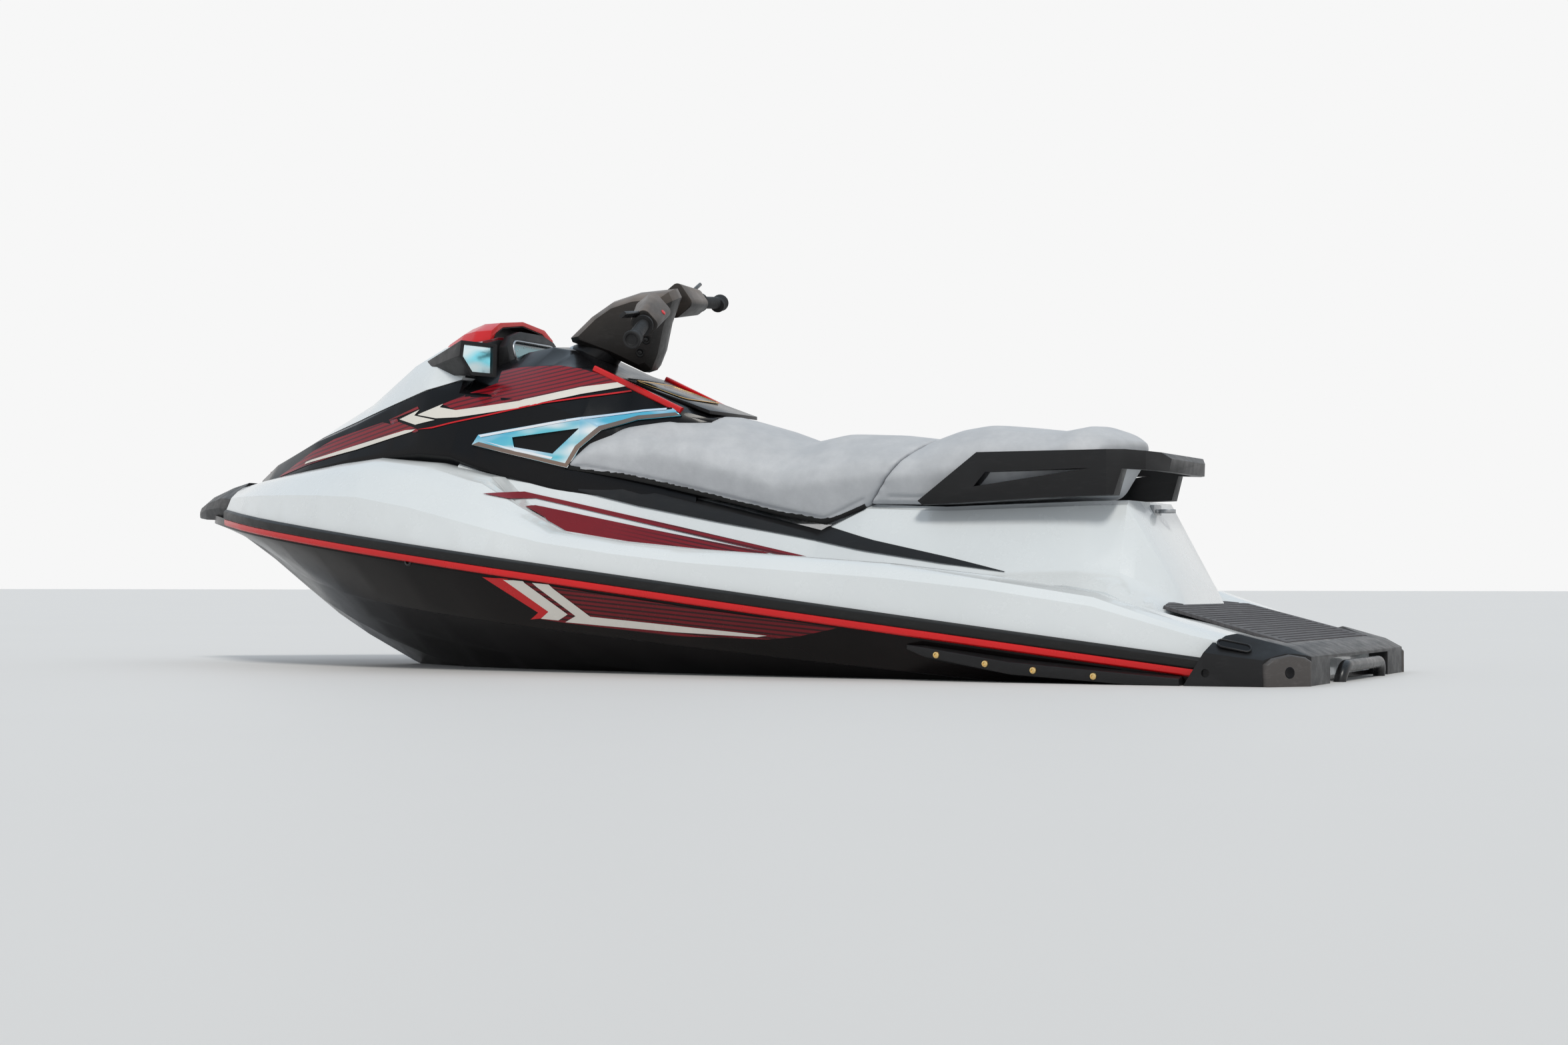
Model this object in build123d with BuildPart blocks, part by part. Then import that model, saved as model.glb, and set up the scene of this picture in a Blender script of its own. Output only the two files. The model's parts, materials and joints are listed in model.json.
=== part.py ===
"""Three-seat personal watercraft, afloat. Millimetres. +X to the bow, +Y to port, +Z up.
The origin is on the water, amidships: the craft floats a little bow-up, so its keel is not level."""
from build123d import *
import math
import os

os.makedirs("parts", exist_ok=True)

# Driving sizes
TRIM = 3.0                   # degrees that the keel rises towards the bow
RAIL_SLOPE = 0.1274          # how fast the rubbing rail climbs towards the bow
RAIL_AT_ORIGIN = 242.0       # height of the rail's top edge above the water at x = 0
RAIL_BLACK = 27.0            # height of the rail's black moulding
RAIL_RED = 19.0              # height of the red strip under it
RAIL_OUT = 14.0              # how far the rail stands out from the hull side
STERN = -1600.0              # transom
STRAKES_AT = (0.36, 0.68)    # places of the two planing strakes, as shares of the way to the chine
STRAKE = 20.0                # width of a strake
CHINE_FLAT = 26.0            # width of the flat outside the chine
HOOD_SLOPE = 0.273           # fall of the hood's joint line towards the bow
HOOD_TIP = (1395.0, 527.0)   # x, z of the front end of that line
HOOD_HINGE = (1410.0, 508.0) # x, z of the hood's hinge pin, ahead of the cowl
DASH_AFT = 600.0             # x where the hood ends and the dash begins
GAP = 5.0                    # clearance of moving pieces
SKIN = 0.3                   # clearance of soft pieces laid on hard ones

# Jet pump
PUMP_BORE = 162.0
PUMP_WALL = 9.0
IMPELLER = PUMP_BORE - 2 * GAP - 2
NOZZLE_MOUTH = 84.0
BLADES = 4
VANES = 6
SHAFT = 26.0
SHAFT_PLAY = 2.0

# Steering
COLUMN_RAKE = 55.0           # degrees that the steering column leans aft from the vertical
STEER_REST = 16.0            # degrees to port at which the bars stand
BAR_HALF = 370.0
BAR_TUBE = 22.0
GRIP = 33.0


def rail_top(x):
    """Height of the rail's top edge at x."""
    return RAIL_AT_ORIGIN + RAIL_SLOPE * x


def bond(x):
    """Height of the joint between hull and deck, behind the rail."""
    return rail_top(x) - RAIL_BLACK


def hood_line(x):
    """Height of the joint between the hood and the cowl under it."""
    return HOOD_TIP[1] + HOOD_SLOPE * (HOOD_TIP[0] - x)


def across(x):
    """The plane of a cross-section: its own x runs to port and its own y runs up."""
    return Plane(origin=(x, 0, 0), x_dir=(0, 1, 0), z_dir=(1, 0, 0))


def eased(points, radii):
    """The points of a port half, with each corner that has a radius cut across."""
    chain = [(0, points[0][1]), *points, (0, points[-1][1])]
    out = []
    for before, here, after, r in zip(chain, chain[1:], chain[2:], radii):
        if r:
            start = Vector(*here) + (Vector(*before) - Vector(*here)).normalized() * r
            end = Vector(*here) + (Vector(*after) - Vector(*here)).normalized() * r
            out += [(start.X, start.Y), (end.X, end.Y)]
        else:
            out.append(here)
    return out


def outline(x, half):
    """The face of a closed cross-section at x, from the points of its port half, low to high."""
    points = list(half) + [(-y, z) for y, z in reversed(half) if abs(y) > 1e-6]
    return across(x) * Face(Wire.make_polygon(points, close=True))


def patch(x, points):
    """The face of a closed cross-section at x that lies on the port side alone."""
    return across(x) * Face(Wire.make_polygon(points, close=True))


def faired(table, frames):
    """The table's rows at other places, read off smooth curves through its columns."""
    flat = [[n for cell in row for n in (cell if isinstance(cell, tuple) else (cell,))] for row in table]
    shape = [len(cell) if isinstance(cell, tuple) else 1 for cell in table[0]]
    xs = [row[0] for row in flat]
    rows = []
    for x in frames:
        i = max(0, min(len(xs) - 2, sum(1 for known in xs if known <= x) - 1))
        step = xs[i + 1] - xs[i]
        t = (x - xs[i]) / step
        values = []
        for column in zip(*flat):
            slopes = [(b - a) / (u - v) for a, b, v, u in zip(column, column[1:], xs, xs[1:])]
            ends = []
            for j in (i, i + 1):
                left, right = slopes[max(j - 1, 0)], slopes[min(j, len(slopes) - 1)]
                ends.append(2 * left * right / (left + right) if left * right > 0 else 0.0)
            values.append((2 * t**3 - 3 * t**2 + 1) * column[i] + (t**3 - 2 * t**2 + t) * step * ends[0]
                          + (3 * t**2 - 2 * t**3) * column[i + 1] + (t**3 - t**2) * step * ends[1])
        row, at = [], 0
        for size in shape:
            row.append(values[at] if size == 1 else tuple(values[at:at + size]))
            at += size
        rows.append([x] + row[1:])
    return rows


# Hull: x, keel height, chine (y, z), half-breadth at the rail
HULL_STATIONS = [
    (STERN, -255, 455, -62, 535),
    (-1000, -223, 488, -8, 570),
    (-300, -187, 500, 54, 592),
    (300, -155, 478, 112, 583),
    (650, -98, 415, 150, 545),
    (950, 8, 300, 190, 472),
    (1200, 136, 165, 240, 372),
    (1400, 276, 62, 318, 236),
    (1540, 362, 20, 374, 118),
]


def hull_outline(x, keel, chine_y, chine_z, side_y):
    """One closed cross-section of the hull, from the keel up to the joint with the deck."""
    shrink = min(1.0, chine_y / 300)
    half = [(0, keel)]
    for share in STRAKES_AT:
        y, z = share * chine_y, keel + share * (chine_z - keel)
        half += [(y, z), (y + STRAKE * shrink, z)]
    half += [(chine_y, chine_z), (chine_y + CHINE_FLAT * shrink, chine_z + 4)]
    half += [(side_y, bond(x) - RAIL_RED - 4), (side_y, bond(x))]
    return outline(x, half)


# Deck: x, half-breadth at the rail, side crease (y, z), gunwale outside (y, z), gunwale inside (y, z),
# footwell floor (y, z)
DECK_STATIONS = [
    (STERN, 535, (520, 66), (490, 76), (420, 78), (330, 77)),
    (-1400, 558, (545, 108), (515, 124), (430, 131), (350, 130)),
    (-1180, 574, (560, 170), (532, 200), (470, 196), (440, 172)),
    (-700, 594, (584, 232), (556, 264), (505, 266), (478, 190)),
    (-200, 603, (592, 268), (556, 300), (500, 302), (478, 208)),
    (200, 594, (582, 318), (545, 345), (480, 352), (455, 260)),
    (450, 575, (556, 372), (505, 430), (440, 478), (400, 490)),
    (800, 522, (500, 440), (440, 520), (390, 545), (350, 545)),
    (1100, 425, (400, 452), (340, 505), (290, 522), (260, 515)),
    (1300, 315, (290, 455), (235, 492), (195, 503), (170, 498)),
    (1420, 222, (200, 455), (160, 482), (125, 490), (105, 486)),
]
FRAMES = [STERN, -1400, -1180, -940, -700, -450, -200, 0, 200, 340, 450, 620, 800, 950, 1100, 1200, 1300, 1420]
BOW_FRAMES = [1480, 1540]


def deck_outline(x, rail_y, crease, outside, inside, floor):
    """One closed cross-section of the deck moulding, without the seat's pedestal."""
    points = [(rail_y, bond(x)), (rail_y, rail_top(x)), crease, outside, inside, floor]
    return outline(x, eased(points, (0, 0, 0, 14, 14, 8)))


hull_rows = faired(HULL_STATIONS, FRAMES + BOW_FRAMES)
rail_y = {row[0]: row[-1] for row in hull_rows}
with BuildPart() as hull_form:
    loft([hull_outline(*row) for row in hull_rows], ruled=True)

with BuildPart() as deck_moulding:
    loft([deck_outline(row[0], rail_y[row[0]], *row[2:]) for row in faired(DECK_STATIONS, FRAMES)], ruled=True)


# Engine: one plain block in its bay under the seat
ENGINE = (-600, -120, 120, -105, 300)        # from x, to x, half-breadth, bottom z, top z
with BuildPart() as engine_block:
    with Locations(((ENGINE[0] + ENGINE[1]) / 2, 0, (ENGINE[3] + ENGINE[4]) / 2)):
        Box(ENGINE[1] - ENGINE[0], 2 * ENGINE[2], ENGINE[4] - ENGINE[3])

# Jet pump: a frame on the shaft, its z runs aft along the keel and its y down
tilt = math.radians(TRIM)
PUMP = Plane(origin=(-1180, 0, -120), x_dir=(0, 1, 0), z_dir=(-math.cos(tilt), 0, -math.sin(tilt)))
TUNNEL = (-20, 240, 118)                     # start along the shaft, width, height of the roof above the shaft
PUMP_R = PUMP_BORE / 2
MOUTH_R = NOZZLE_MOUTH / 2
MOUTH_FROM = 270.0                           # where the cone ends and the mouth begins
PUMP_END = 318.0
NOZZLE_PIVOT = 310.0
NOZZLE_END = 415.0
BUCKET_PIVOT = 338.0
BUCKET_R = 98.0
BUCKET_HALF = 103.0                          # half-breadth inside the bucket's cheeks
EAR = (85.0, 96.0)                           # from y, to y of the arms that carry the bucket


def spun(plane, degrees):
    """The plane turned about its own z."""
    turn = math.radians(degrees)
    return Plane(origin=plane.origin, x_dir=plane.x_dir * math.cos(turn) + plane.y_dir * math.sin(turn),
                 z_dir=plane.z_dir)


def turned(points):
    """A ring about the shaft from a closed profile of (radius, place along the shaft) points."""
    lengthwise = Plane(origin=PUMP.origin, x_dir=PUMP.x_dir, z_dir=-PUMP.y_dir)
    return revolve(lengthwise * Face(Wire.make_polygon(points, close=True)), Axis(PUMP.origin, PUMP.z_dir),
                   mode=Mode.PRIVATE)


with BuildPart() as tunnel:
    with BuildSketch(PUMP.offset(TUNNEL[0])):
        with Locations((0, 120)):
            Rectangle(TUNNEL[1], 2 * TUNNEL[2] + 240)
    extrude(amount=600)
with BuildPart() as intake:
    with BuildSketch(PUMP.offset(TUNNEL[0])):
        Circle(PUMP_R)
    with BuildSketch(Plane(origin=(-770, 0, -320), x_dir=(0, 1, 0), z_dir=(0.3, 0, -1))):
        RectangleRounded(150, 300, 40)
    loft()
with BuildPart() as shaft_bore:
    with BuildSketch(PUMP.offset(TUNNEL[0])):
        Circle(SHAFT / 2 + SHAFT_PLAY)
    extrude(amount=-600)

with BuildPart() as hull:
    add(hull_form.part)
    for hollow in (tunnel, intake, shaft_bore, engine_block):
        add(hollow.part, mode=Mode.SUBTRACT)

# Pedestal that carries the seat: x, top z, half-breadth at the top, half-breadth and height where its side ends,
# half-breadth at the floor
PEDESTAL_STATIONS = [
    (-1290, 150, 150, (190, 148), 300),
    (-1262, 212, 160, (200, 170), 330),
    (-1235, 259, 165, (212, 190), 345),
    (-1178, 358, 176, (240, 215), 352),
    (-1146, 414, 182, (252, 230), 352),
    (-1050, 413, 190, (268, 245), 345),
    (-700, 404, 205, (292, 250), 330),
    (-500, 412, 215, (296, 250), 322),
    (-376, 350, 222, (298, 250), 322),
    (-100, 418, 232, (300, 265), 322),
    (100, 466, 248, (312, 300), 322),
    (300, 498, 280, (325, 420), 340),
    (450, 520, 310, (352, 470), 356),
    (580, 545, 330, (372, 510), 374),
]


def pedestal_outline(x, top, top_y, side, floor_y):
    """One closed cross-section of the pedestal, standing on the footwell floors."""
    base = bond(x) + 4
    return outline(x, eased([(floor_y, base), (floor_y, min(side[1] - 30, top - 50)), side, (top_y, top)],
                            (0, 0, 16, 12)))


with BuildPart() as pedestal:
    loft([pedestal_outline(*row) for row in PEDESTAL_STATIONS], ruled=True)

def prism(points, half):
    """A solid from a side view's (x, z) points, as wide as twice the half-breadth."""
    face = Plane.XZ * Face(Wire.make_polygon(points, close=True))
    return extrude(face, half, both=True, mode=Mode.PRIVATE)


# Rubbing rail: the black moulding and the red strip under it, on the hull's upright edge as far as the stern bumper
BUMPER_FRONT = [(-1382, -16), (-1456, 104)]  # side view of the bumper's forward edge
behind_front = prism([*BUMPER_FRONT, (-1700, 160), (-1700, -16)], 700)
with BuildPart() as rub_rail:
    loft([patch(x, [(rail_y[x], bond(x)), (rail_y[x] + RAIL_OUT - 3, bond(x)), (rail_y[x] + RAIL_OUT, bond(x) + 4),
                    (rail_y[x] + RAIL_OUT, rail_top(x) - 6), (rail_y[x] + 4, rail_top(x)),
                    (rail_y[x], rail_top(x))])
          for x in FRAMES], ruled=True)
    add(behind_front, mode=Mode.SUBTRACT)
    mirror(about=Plane.XZ)

with BuildPart() as rail_stripe:
    loft([patch(x, [(rail_y[x], bond(x) - RAIL_RED), (rail_y[x] + RAIL_OUT - 4, bond(x) - RAIL_RED + 4),
                    (rail_y[x] + RAIL_OUT - 3, bond(x)), (rail_y[x], bond(x))])
          for x in FRAMES], ruled=True)
    add(behind_front, mode=Mode.SUBTRACT)
    mirror(about=Plane.XZ)

# Nose bumper: x, bottom z, side (y, z), side top (y, z), crown (y, z)
NOSE_STATIONS = [
    (FRAMES[-1], 400, (196, 424), (196, 452), (120, 500)),
    (1500, 396, (150, 430), (140, 458), (85, 488)),
    (1600, 400, (84, 428), (74, 446), (45, 464)),
    (1655, 405, (36, 420), (32, 434), (18, 442)),
    (1675, 408, (14, 416), (13, 424), (8, 428)),
]
with BuildPart() as nose_bumper:
    loft([outline(x, [(low[0] * 0.92, bottom), low, high, crown])
          for x, bottom, low, high, crown in NOSE_STATIONS], ruled=True)
    add(hull.part, mode=Mode.SUBTRACT)

# Seat: x, lower edge (y, z), bulge (y, z), top edge (y, z), crown z
SEAT_STATIONS = [
    (-1152, (178, 440), (190, 470), (165, 500), 512),
    (-1135, (186, 432), (204, 485), (172, 540), 553),
    (-1100, (192, 426), (214, 505), (180, 562), 580),
    (-1040, (196, 424), (222, 515), (184, 580), 600),
    (-960, (200, 421), (228, 505), (184, 568), 588),
    (-860, (206, 417), (234, 512), (182, 578), 600),
    (-776, (212, 413), (238, 520), (180, 584), 608),
    (-700, (216, 410), (242, 512), (176, 572), 598),
    (-630, (222, 410), (246, 500), (170, 550), 576),
    (-520, (228, 412), (250, 505), (164, 565), 590),
    (-393, (232, 362), (256, 490), (160, 570), 596),
    (-284, (238, 384), (262, 480), (160, 552), 576),
    (-174, (243, 410), (268, 510), (166, 590), 615),
    (-60, (250, 437), (274, 545), (172, 622), 647),
    (50, (262, 463), (284, 565), (186, 646), 668),
    (150, (278, 484), (296, 570), (215, 634), 654),
    (240, (292, 500), (304, 550), (250, 598), 610),
    (298, (300, 508), (304, 516), (285, 526), 530),
]
SEAT_SPLIT = [(-503, 405), (-636, 580)]      # side view of the joint between the two seats
LID_HALF = 138.0                             # half-breadth of the glove box lid
SEAT_FORK = (-36, 290, LID_HALF + GAP)       # from x, to x, half-breadth of the gap between the seat's front wings


def seat_outline(x, low, bulge, top, crown):
    """One closed cross-section of the seat."""
    half = [low, bulge, top, (top[0] * 0.5, crown - 4), (0, crown)]
    return outline(x, eased(half, (8, 22, 34, 0, 0) if -1130 < x < 200 else (2, 4, 4, 0, 0)))


with BuildPart() as seat:
    loft([seat_outline(*row) for row in SEAT_STATIONS], ruled=True)
    with Locations(((SEAT_FORK[0] + SEAT_FORK[1]) / 2, 0, 560)):
        Box(SEAT_FORK[1] - SEAT_FORK[0], 2 * SEAT_FORK[2], 400, mode=Mode.SUBTRACT)
with BuildPart() as behind_split:
    (x0, z0), (x1, z1) = SEAT_SPLIT
    run = (x1 - x0) / (z1 - z0)
    with BuildSketch(Plane.XZ):
        with BuildLine():
            Polyline((x0 - run * (z0 - 200), 200), (x1 + run * (800 - z1), 800), (-2000, 800), (-2000, 200),
                     close=True)
        make_face()
    extrude(amount=400, both=True)
with BuildPart() as seat_front:
    add(seat.part - behind_split.part)
with BuildPart() as seat_rear:
    add(seat.part & behind_split.part)

# Cowl and hood are one fair body: x, lower edge (y, z), shoulder (y, z), top edge (y, z), crown (y, z), crown z
DASH_STATIONS = [
    (-45, (252, 385), (225, 500), (150, 635), (60, 643), 645),
    (30, (258, 398), (232, 520), (188, 658), (150, 670), 673),
    (150, (272, 428), (252, 575), (195, 715), (150, 719), 722),
    (265, (297, 455), (276, 640), (198, 768), (140, 768), 770),
    (340, (315, 474), (290, 670), (200, 778), (110, 805), 812),
    (390, (325, 488), (298, 680), (200, 783), (95, 830), 838),
    (450, (345, 505), (306, 692), (200, 783), (100, 842), 850),
    (520, (357, 525), (312, 700), (202, 780), (110, 830), 838),
    (DASH_AFT, (370, 556), (325, 710), (205, 775), (150, 790), 792),
]
BOW_STATIONS = [
    (DASH_AFT, (370, 556), (325, 710), (245, 846), (130, 872), 880),
    (700, (365, 566), (325, 722), (235, 838), (110, 868), 878),
    (800, (350, 560), (305, 690), (222, 795), (95, 835), 845),
    (950, (322, 545), (278, 640), (200, 698), (80, 743), 752),
    (1100, (285, 524), (245, 600), (160, 640), (60, 672), 680),
    (1300, (190, 500), (150, 545), (85, 568), (35, 578), 582),
    (1400, (105, 484), (85, 508), (50, 520), (20, 525), 527),
]
WING_INNER = [(1400, 12), (605, 205)]        # plan view of the joint between the hood's spine and its white sides
BIN = (790, 1170, 150, 420)                  # storage bin: from x, to x, half-breadth, floor z
GLOVE_BOX = (25, 200, 95, 590)               # glove box: the same
LID = [(217, 748), (-30, 659)]               # top line of the glove box lid in side view
LID_THICK = 9.0
LID_BARREL = 7.0                             # radius of the lid's hinge barrel
LID_PIN = 3.0
LID_HINGE_HALF = 100.0
HOOD_PIN = 4.0                               # radius of the hood's hinge pin
HOOD_HINGE_HALF = 34.0
lid_slope = (LID[0][1] - LID[1][1]) / (LID[0][0] - LID[1][0])
lid_drop = (LID_THICK + GAP) * (1 + lid_slope**2)**0.5
LID_HINGE = (LID[0][0] + 4, LID[0][1] - 4)   # x, z of the hinge pin at the lid's front edge
lid_bed = [(LID[0][0] + GAP, LID[0][1] + GAP * lid_slope - lid_drop),
           (LID[1][0] - GAP, LID[1][1] - GAP * lid_slope - lid_drop), (LID[1][0] - GAP, 900), (LID[0][0] + GAP, 900)]


def shell_outline(x, lower, shoulder, edge, crown_side, crown):
    """One closed cross-section of the cowl and hood."""
    return outline(x, [(lower[0] - 40, lower[1] - 40), (lower[0], lower[1] - 12), lower, shoulder, edge,
                       crown_side, (0, crown)])


def above_hood_line(start, lift=0.0):
    """Everything above the hood's joint line, or above that line lifted, ahead of the start."""
    return prism([(start, hood_line(start) + lift), (1460, hood_line(1460) + lift), (1460, 1200), (start, 1200)], 500)


spine_plan = [(1500, 12), *WING_INNER, (500, 205)]
spine_plan += [(x, -y) for x, y in reversed(spine_plan)]
spine_zone = extrude(Face(Wire.make_polygon(spine_plan, close=True)), 1500, dir=(0, 0, 1))

with BuildPart() as bow_body:
    loft([shell_outline(*row) for row in BOW_STATIONS], ruled=True)
with BuildPart() as dash_body:
    loft([shell_outline(*row) for row in DASH_STATIONS], ruled=True)

def well(from_x, to_x, half, floor):
    """The room of a bin that is open at the top."""
    return prism([(from_x, floor), (to_x, floor), (to_x, floor + 500), (from_x, floor + 500)], half)


with BuildPart() as deck:
    add(deck_moulding.part)
    add(pedestal.part)
    for hollow in (engine_block.part, seat.part, well(*BIN)):
        add(hollow, mode=Mode.SUBTRACT)

with BuildPart() as cowl:
    add(bow_body.part - above_hood_line(DASH_AFT - 1))
    add(dash_body.part)
    for hollow in (well(*BIN), well(*GLOVE_BOX), prism(lid_bed, LID_HALF + GAP)):
        add(hollow, mode=Mode.SUBTRACT)
    with Locations(Location((*LID_HINGE[:1], 0, LID_HINGE[1]), (90, 0, 0))):
        Cylinder(LID_BARREL + GAP, 2 * LID_HINGE_HALF + 2 * GAP, mode=Mode.SUBTRACT)
        Cylinder(LID_PIN, 2 * LID_HINGE_HALF + 4 * GAP)
    for side in (1, -1):
        with Locations((HOOD_HINGE[0] - 2, side * (HOOD_HINGE_HALF + GAP), HOOD_HINGE[1] - 6)):
            Box(22, 8, 34)
    with Locations(Location((HOOD_HINGE[0], 0, HOOD_HINGE[1]), (90, 0, 0))):
        Cylinder(HOOD_PIN, 2 * HOOD_HINGE_HALF + 2 * GAP)
    add(deck.part, mode=Mode.SUBTRACT)
    add(seat.part, mode=Mode.SUBTRACT)

hood_zone = above_hood_line(DASH_AFT + GAP, GAP)
with BuildPart() as hood_knuckle:
    add(prism([(1340, hood_line(1340) + 8), (1340, hood_line(1340) + GAP), (1402, hood_line(1402) + GAP),
               (HOOD_HINGE[0] - 4, HOOD_HINGE[1]), (HOOD_HINGE[0] + 6, HOOD_HINGE[1]),
               (HOOD_HINGE[0] + 2, HOOD_HINGE[1] + 26)], HOOD_HINGE_HALF))
    with Locations(Location((HOOD_HINGE[0], 0, HOOD_HINGE[1]), (90, 0, 0))):
        Cylinder(HOOD_PIN + 4, 2 * HOOD_HINGE_HALF)
        Cylinder(HOOD_PIN + SKIN, 2 * HOOD_HINGE_HALF, mode=Mode.SUBTRACT)
with BuildPart() as hood_spine:
    add(bow_body.part & hood_zone & spine_zone)
    add(hood_knuckle.part)
with BuildPart() as hood_wings:
    add((bow_body.part & hood_zone) - spine_zone)
    add(hood_knuckle.part, mode=Mode.SUBTRACT)


def skin(grown, points, cutters):
    """The piece of a grown shell's port side inside a side view's outline, once the cutters are taken off it."""
    piece = grown & Pos(0, 400, 0) * prism(points, 300)
    for cutter in cutters:
        piece = piece - cutter
    return sorted(piece.solids(), key=lambda one: one.volume)[-1]


BAND_THICK = 5.0
TRIM_THICK = 7.0
with BuildPart() as grown_pedestal:
    loft([pedestal_outline(x, top, top_y + BAND_THICK, (side[0] + BAND_THICK, side[1]), floor_y + BAND_THICK)
          for x, top, top_y, side, floor_y in PEDESTAL_STATIONS], ruled=True)
with BuildPart() as grown_dash:
    loft([shell_outline(x, (lower[0] + TRIM_THICK, lower[1]), (shoulder[0] + TRIM_THICK, shoulder[1]),
                        (edge[0] + TRIM_THICK, edge[1]), crown_side, crown)
          for x, lower, shoulder, edge, crown_side, crown in DASH_STATIONS], ruled=True)

# Black band along the foot of the seat: (x, z) of its lower edge, then of its upper edge
BAND = [(262, 454), (100, 414), (-110, 373), (-310, 338), (-515, 299), (-715, 269), (-880, 248),
        (-740, 281), (-535, 324), (-400, 360), (-376, 358), (-169, 408), (50, 462), (262, 502)]
with BuildPart() as side_bands:
    add(skin(grown_pedestal.part, BAND, [deck.part, cowl.part, seat.part]))
    mirror(about=Plane.XZ)

# Bright trim frame ahead of the seat: its outline and its opening, in side view
TRIM_FRAME = [(541, 574), (528, 600), (300, 637), (120, 661), (46, 666), (22, 643), (128, 634), (210, 607),
              (262, 562), (290, 512)]
TRIM_OPENING = [(437, 592), (266, 613), (330, 549), (430, 567)]
with BuildPart() as side_trims:
    add(skin(grown_dash.part, TRIM_FRAME, [cowl.part, seat.part, prism(TRIM_OPENING, 700)]))
    mirror(about=Plane.XZ)

# Red bars along the edges of the dash, down to the seat: both ends' centres, to port
EDGE_BAR = [(272, 196, 772), (24, 188, 657)]
with BuildPart() as edge_bars:
    for side in (1, -1):
        with BuildSketch(Plane(origin=(*EDGE_BAR[0][:1], side * EDGE_BAR[0][1], EDGE_BAR[0][2]), x_dir=(0, 1, 0),
                               z_dir=(EDGE_BAR[1][0] - EDGE_BAR[0][0], side * (EDGE_BAR[1][1] - EDGE_BAR[0][1]),
                                      EDGE_BAR[1][2] - EDGE_BAR[0][2]))):
            RectangleRounded(16, 16, 5)
        extrude(amount=math.dist(*EDGE_BAR))
    for neighbour in (cowl, seat, side_trims):
        add(neighbour.part, mode=Mode.SUBTRACT)

# Gauge housing on the dash, an arch that leans forward, with its face
GAUGE = (DASH_AFT - 50, DASH_AFT - 6, 144, 776, 892)         # aft x, forward x, half-breadth, foot z, top z
FACE = (GAUGE[1] - 10, GAUGE[3] + 60, 2 * GAUGE[2] - 76, 50)  # x, middle z, breadth and height of the gauge's face
with BuildPart() as gauge_housing:
    with BuildSketch(Plane.YZ.offset(GAUGE[0])):
        with BuildLine():
            FilletPolyline((-GAUGE[2], GAUGE[3]), (GAUGE[2], GAUGE[3]), (GAUGE[2] - 4, GAUGE[4] - 46),
                           (GAUGE[2] - 32, GAUGE[4] - 16), (GAUGE[2] - 86, GAUGE[4]), (86 - GAUGE[2], GAUGE[4]),
                           (32 - GAUGE[2], GAUGE[4] - 16), (4 - GAUGE[2], GAUGE[4] - 46), radius=12, close=True)
        make_face()
    extrude(amount=GAUGE[1] - GAUGE[0])
    add(prism([(GAUGE[0] - 20, GAUGE[3] + 6), (GAUGE[0] + 4, GAUGE[3] + 6), (GAUGE[1] - 14, GAUGE[4] + 4),
               (GAUGE[1] - 14, GAUGE[4] + 90), (GAUGE[0] - 20, GAUGE[4] + 90)], 300), mode=Mode.SUBTRACT)
    with BuildSketch(Plane.YZ.offset(FACE[0])) as face_outline:
        with Locations((0, FACE[1])):
            RectangleRounded(FACE[2], FACE[3], 20)
    extrude(amount=-60, mode=Mode.SUBTRACT)
    add(cowl.part, mode=Mode.SUBTRACT)
with BuildPart() as gauge_face:
    extrude(face_outline.sketch, amount=-5)
    add(cowl.part, mode=Mode.SUBTRACT)

# Visor on the hood, hollow over the gauge: x ahead of the dash's end, low (y, z), side (y, z), top edge (y, z),
# crown z
VISOR_STATIONS = [
    (6, (168, 856), (158, 888), (114, 912), 925),
    (60, (164, 858), (150, 888), (104, 912), 922),
    (110, (148, 858), (128, 884), (86, 902), 912),
    (175, (118, 842), (98, 862), (62, 874), 880),
    (250, (84, 806), (68, 812), (40, 816), 818),
]
VISOR_HOLLOW = [(148, 800), (148, 868), (138, 882), (102, 901), (0, 914)]
with BuildPart() as visor:
    loft([outline(DASH_AFT + x, [(low[0], low[1] - 20), low, side, top, (0, crown)])
          for x, low, side, top, crown in VISOR_STATIONS], ruled=True)
    loft([outline(DASH_AFT + x, VISOR_HOLLOW) for x in (0, 62)], ruled=True, mode=Mode.SUBTRACT)
    add(hood_spine.part, mode=Mode.SUBTRACT)
    add(hood_wings.part, mode=Mode.SUBTRACT)

# Mirrors at the aft ends of the hood's white sides: corners of the frame (across, z) on a plane turned outwards
MIRROR = [(2, 752), (74, 754), (109, 803), (104, 843), (0, 838)]
MIRROR_FOOT = (DASH_AFT - 82, 272)           # x, y of the frame's inner edge
MIRROR_NOSE = [(205, 768), (232, 768), (238, 785), (232, 805), (205, 805)]   # where the pod ends inside the hood
turn = math.radians(30)
MIRROR_PLANE = Plane(origin=(*MIRROR_FOOT, 0), x_dir=(math.sin(turn), math.cos(turn), 0),
                     z_dir=(math.cos(turn), -math.sin(turn), 0))
middle = [sum(values) / len(MIRROR) for values in zip(*MIRROR)]
pane = [tuple(m + 0.8 * (c - m) for c, m in zip(corner, middle)) for corner in MIRROR]
with BuildPart() as mirror_housings:
    loft([patch(DASH_AFT + 160, MIRROR_NOSE), MIRROR_PLANE * Face(Wire.make_polygon(MIRROR, close=True))], ruled=True)
    extrude(MIRROR_PLANE * Face(Wire.make_polygon(pane, close=True)), 10, dir=tuple(MIRROR_PLANE.z_dir),
            mode=Mode.SUBTRACT)
    mirror(about=Plane.XZ)
    add(hood_wings.part, mode=Mode.SUBTRACT)
    add(hood_spine.part, mode=Mode.SUBTRACT)
with BuildPart() as mirror_glasses:
    extrude(MIRROR_PLANE.offset(6) * Face(Wire.make_polygon(pane, close=True)), 4, dir=tuple(MIRROR_PLANE.z_dir))
    mirror(about=Plane.XZ)

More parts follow.
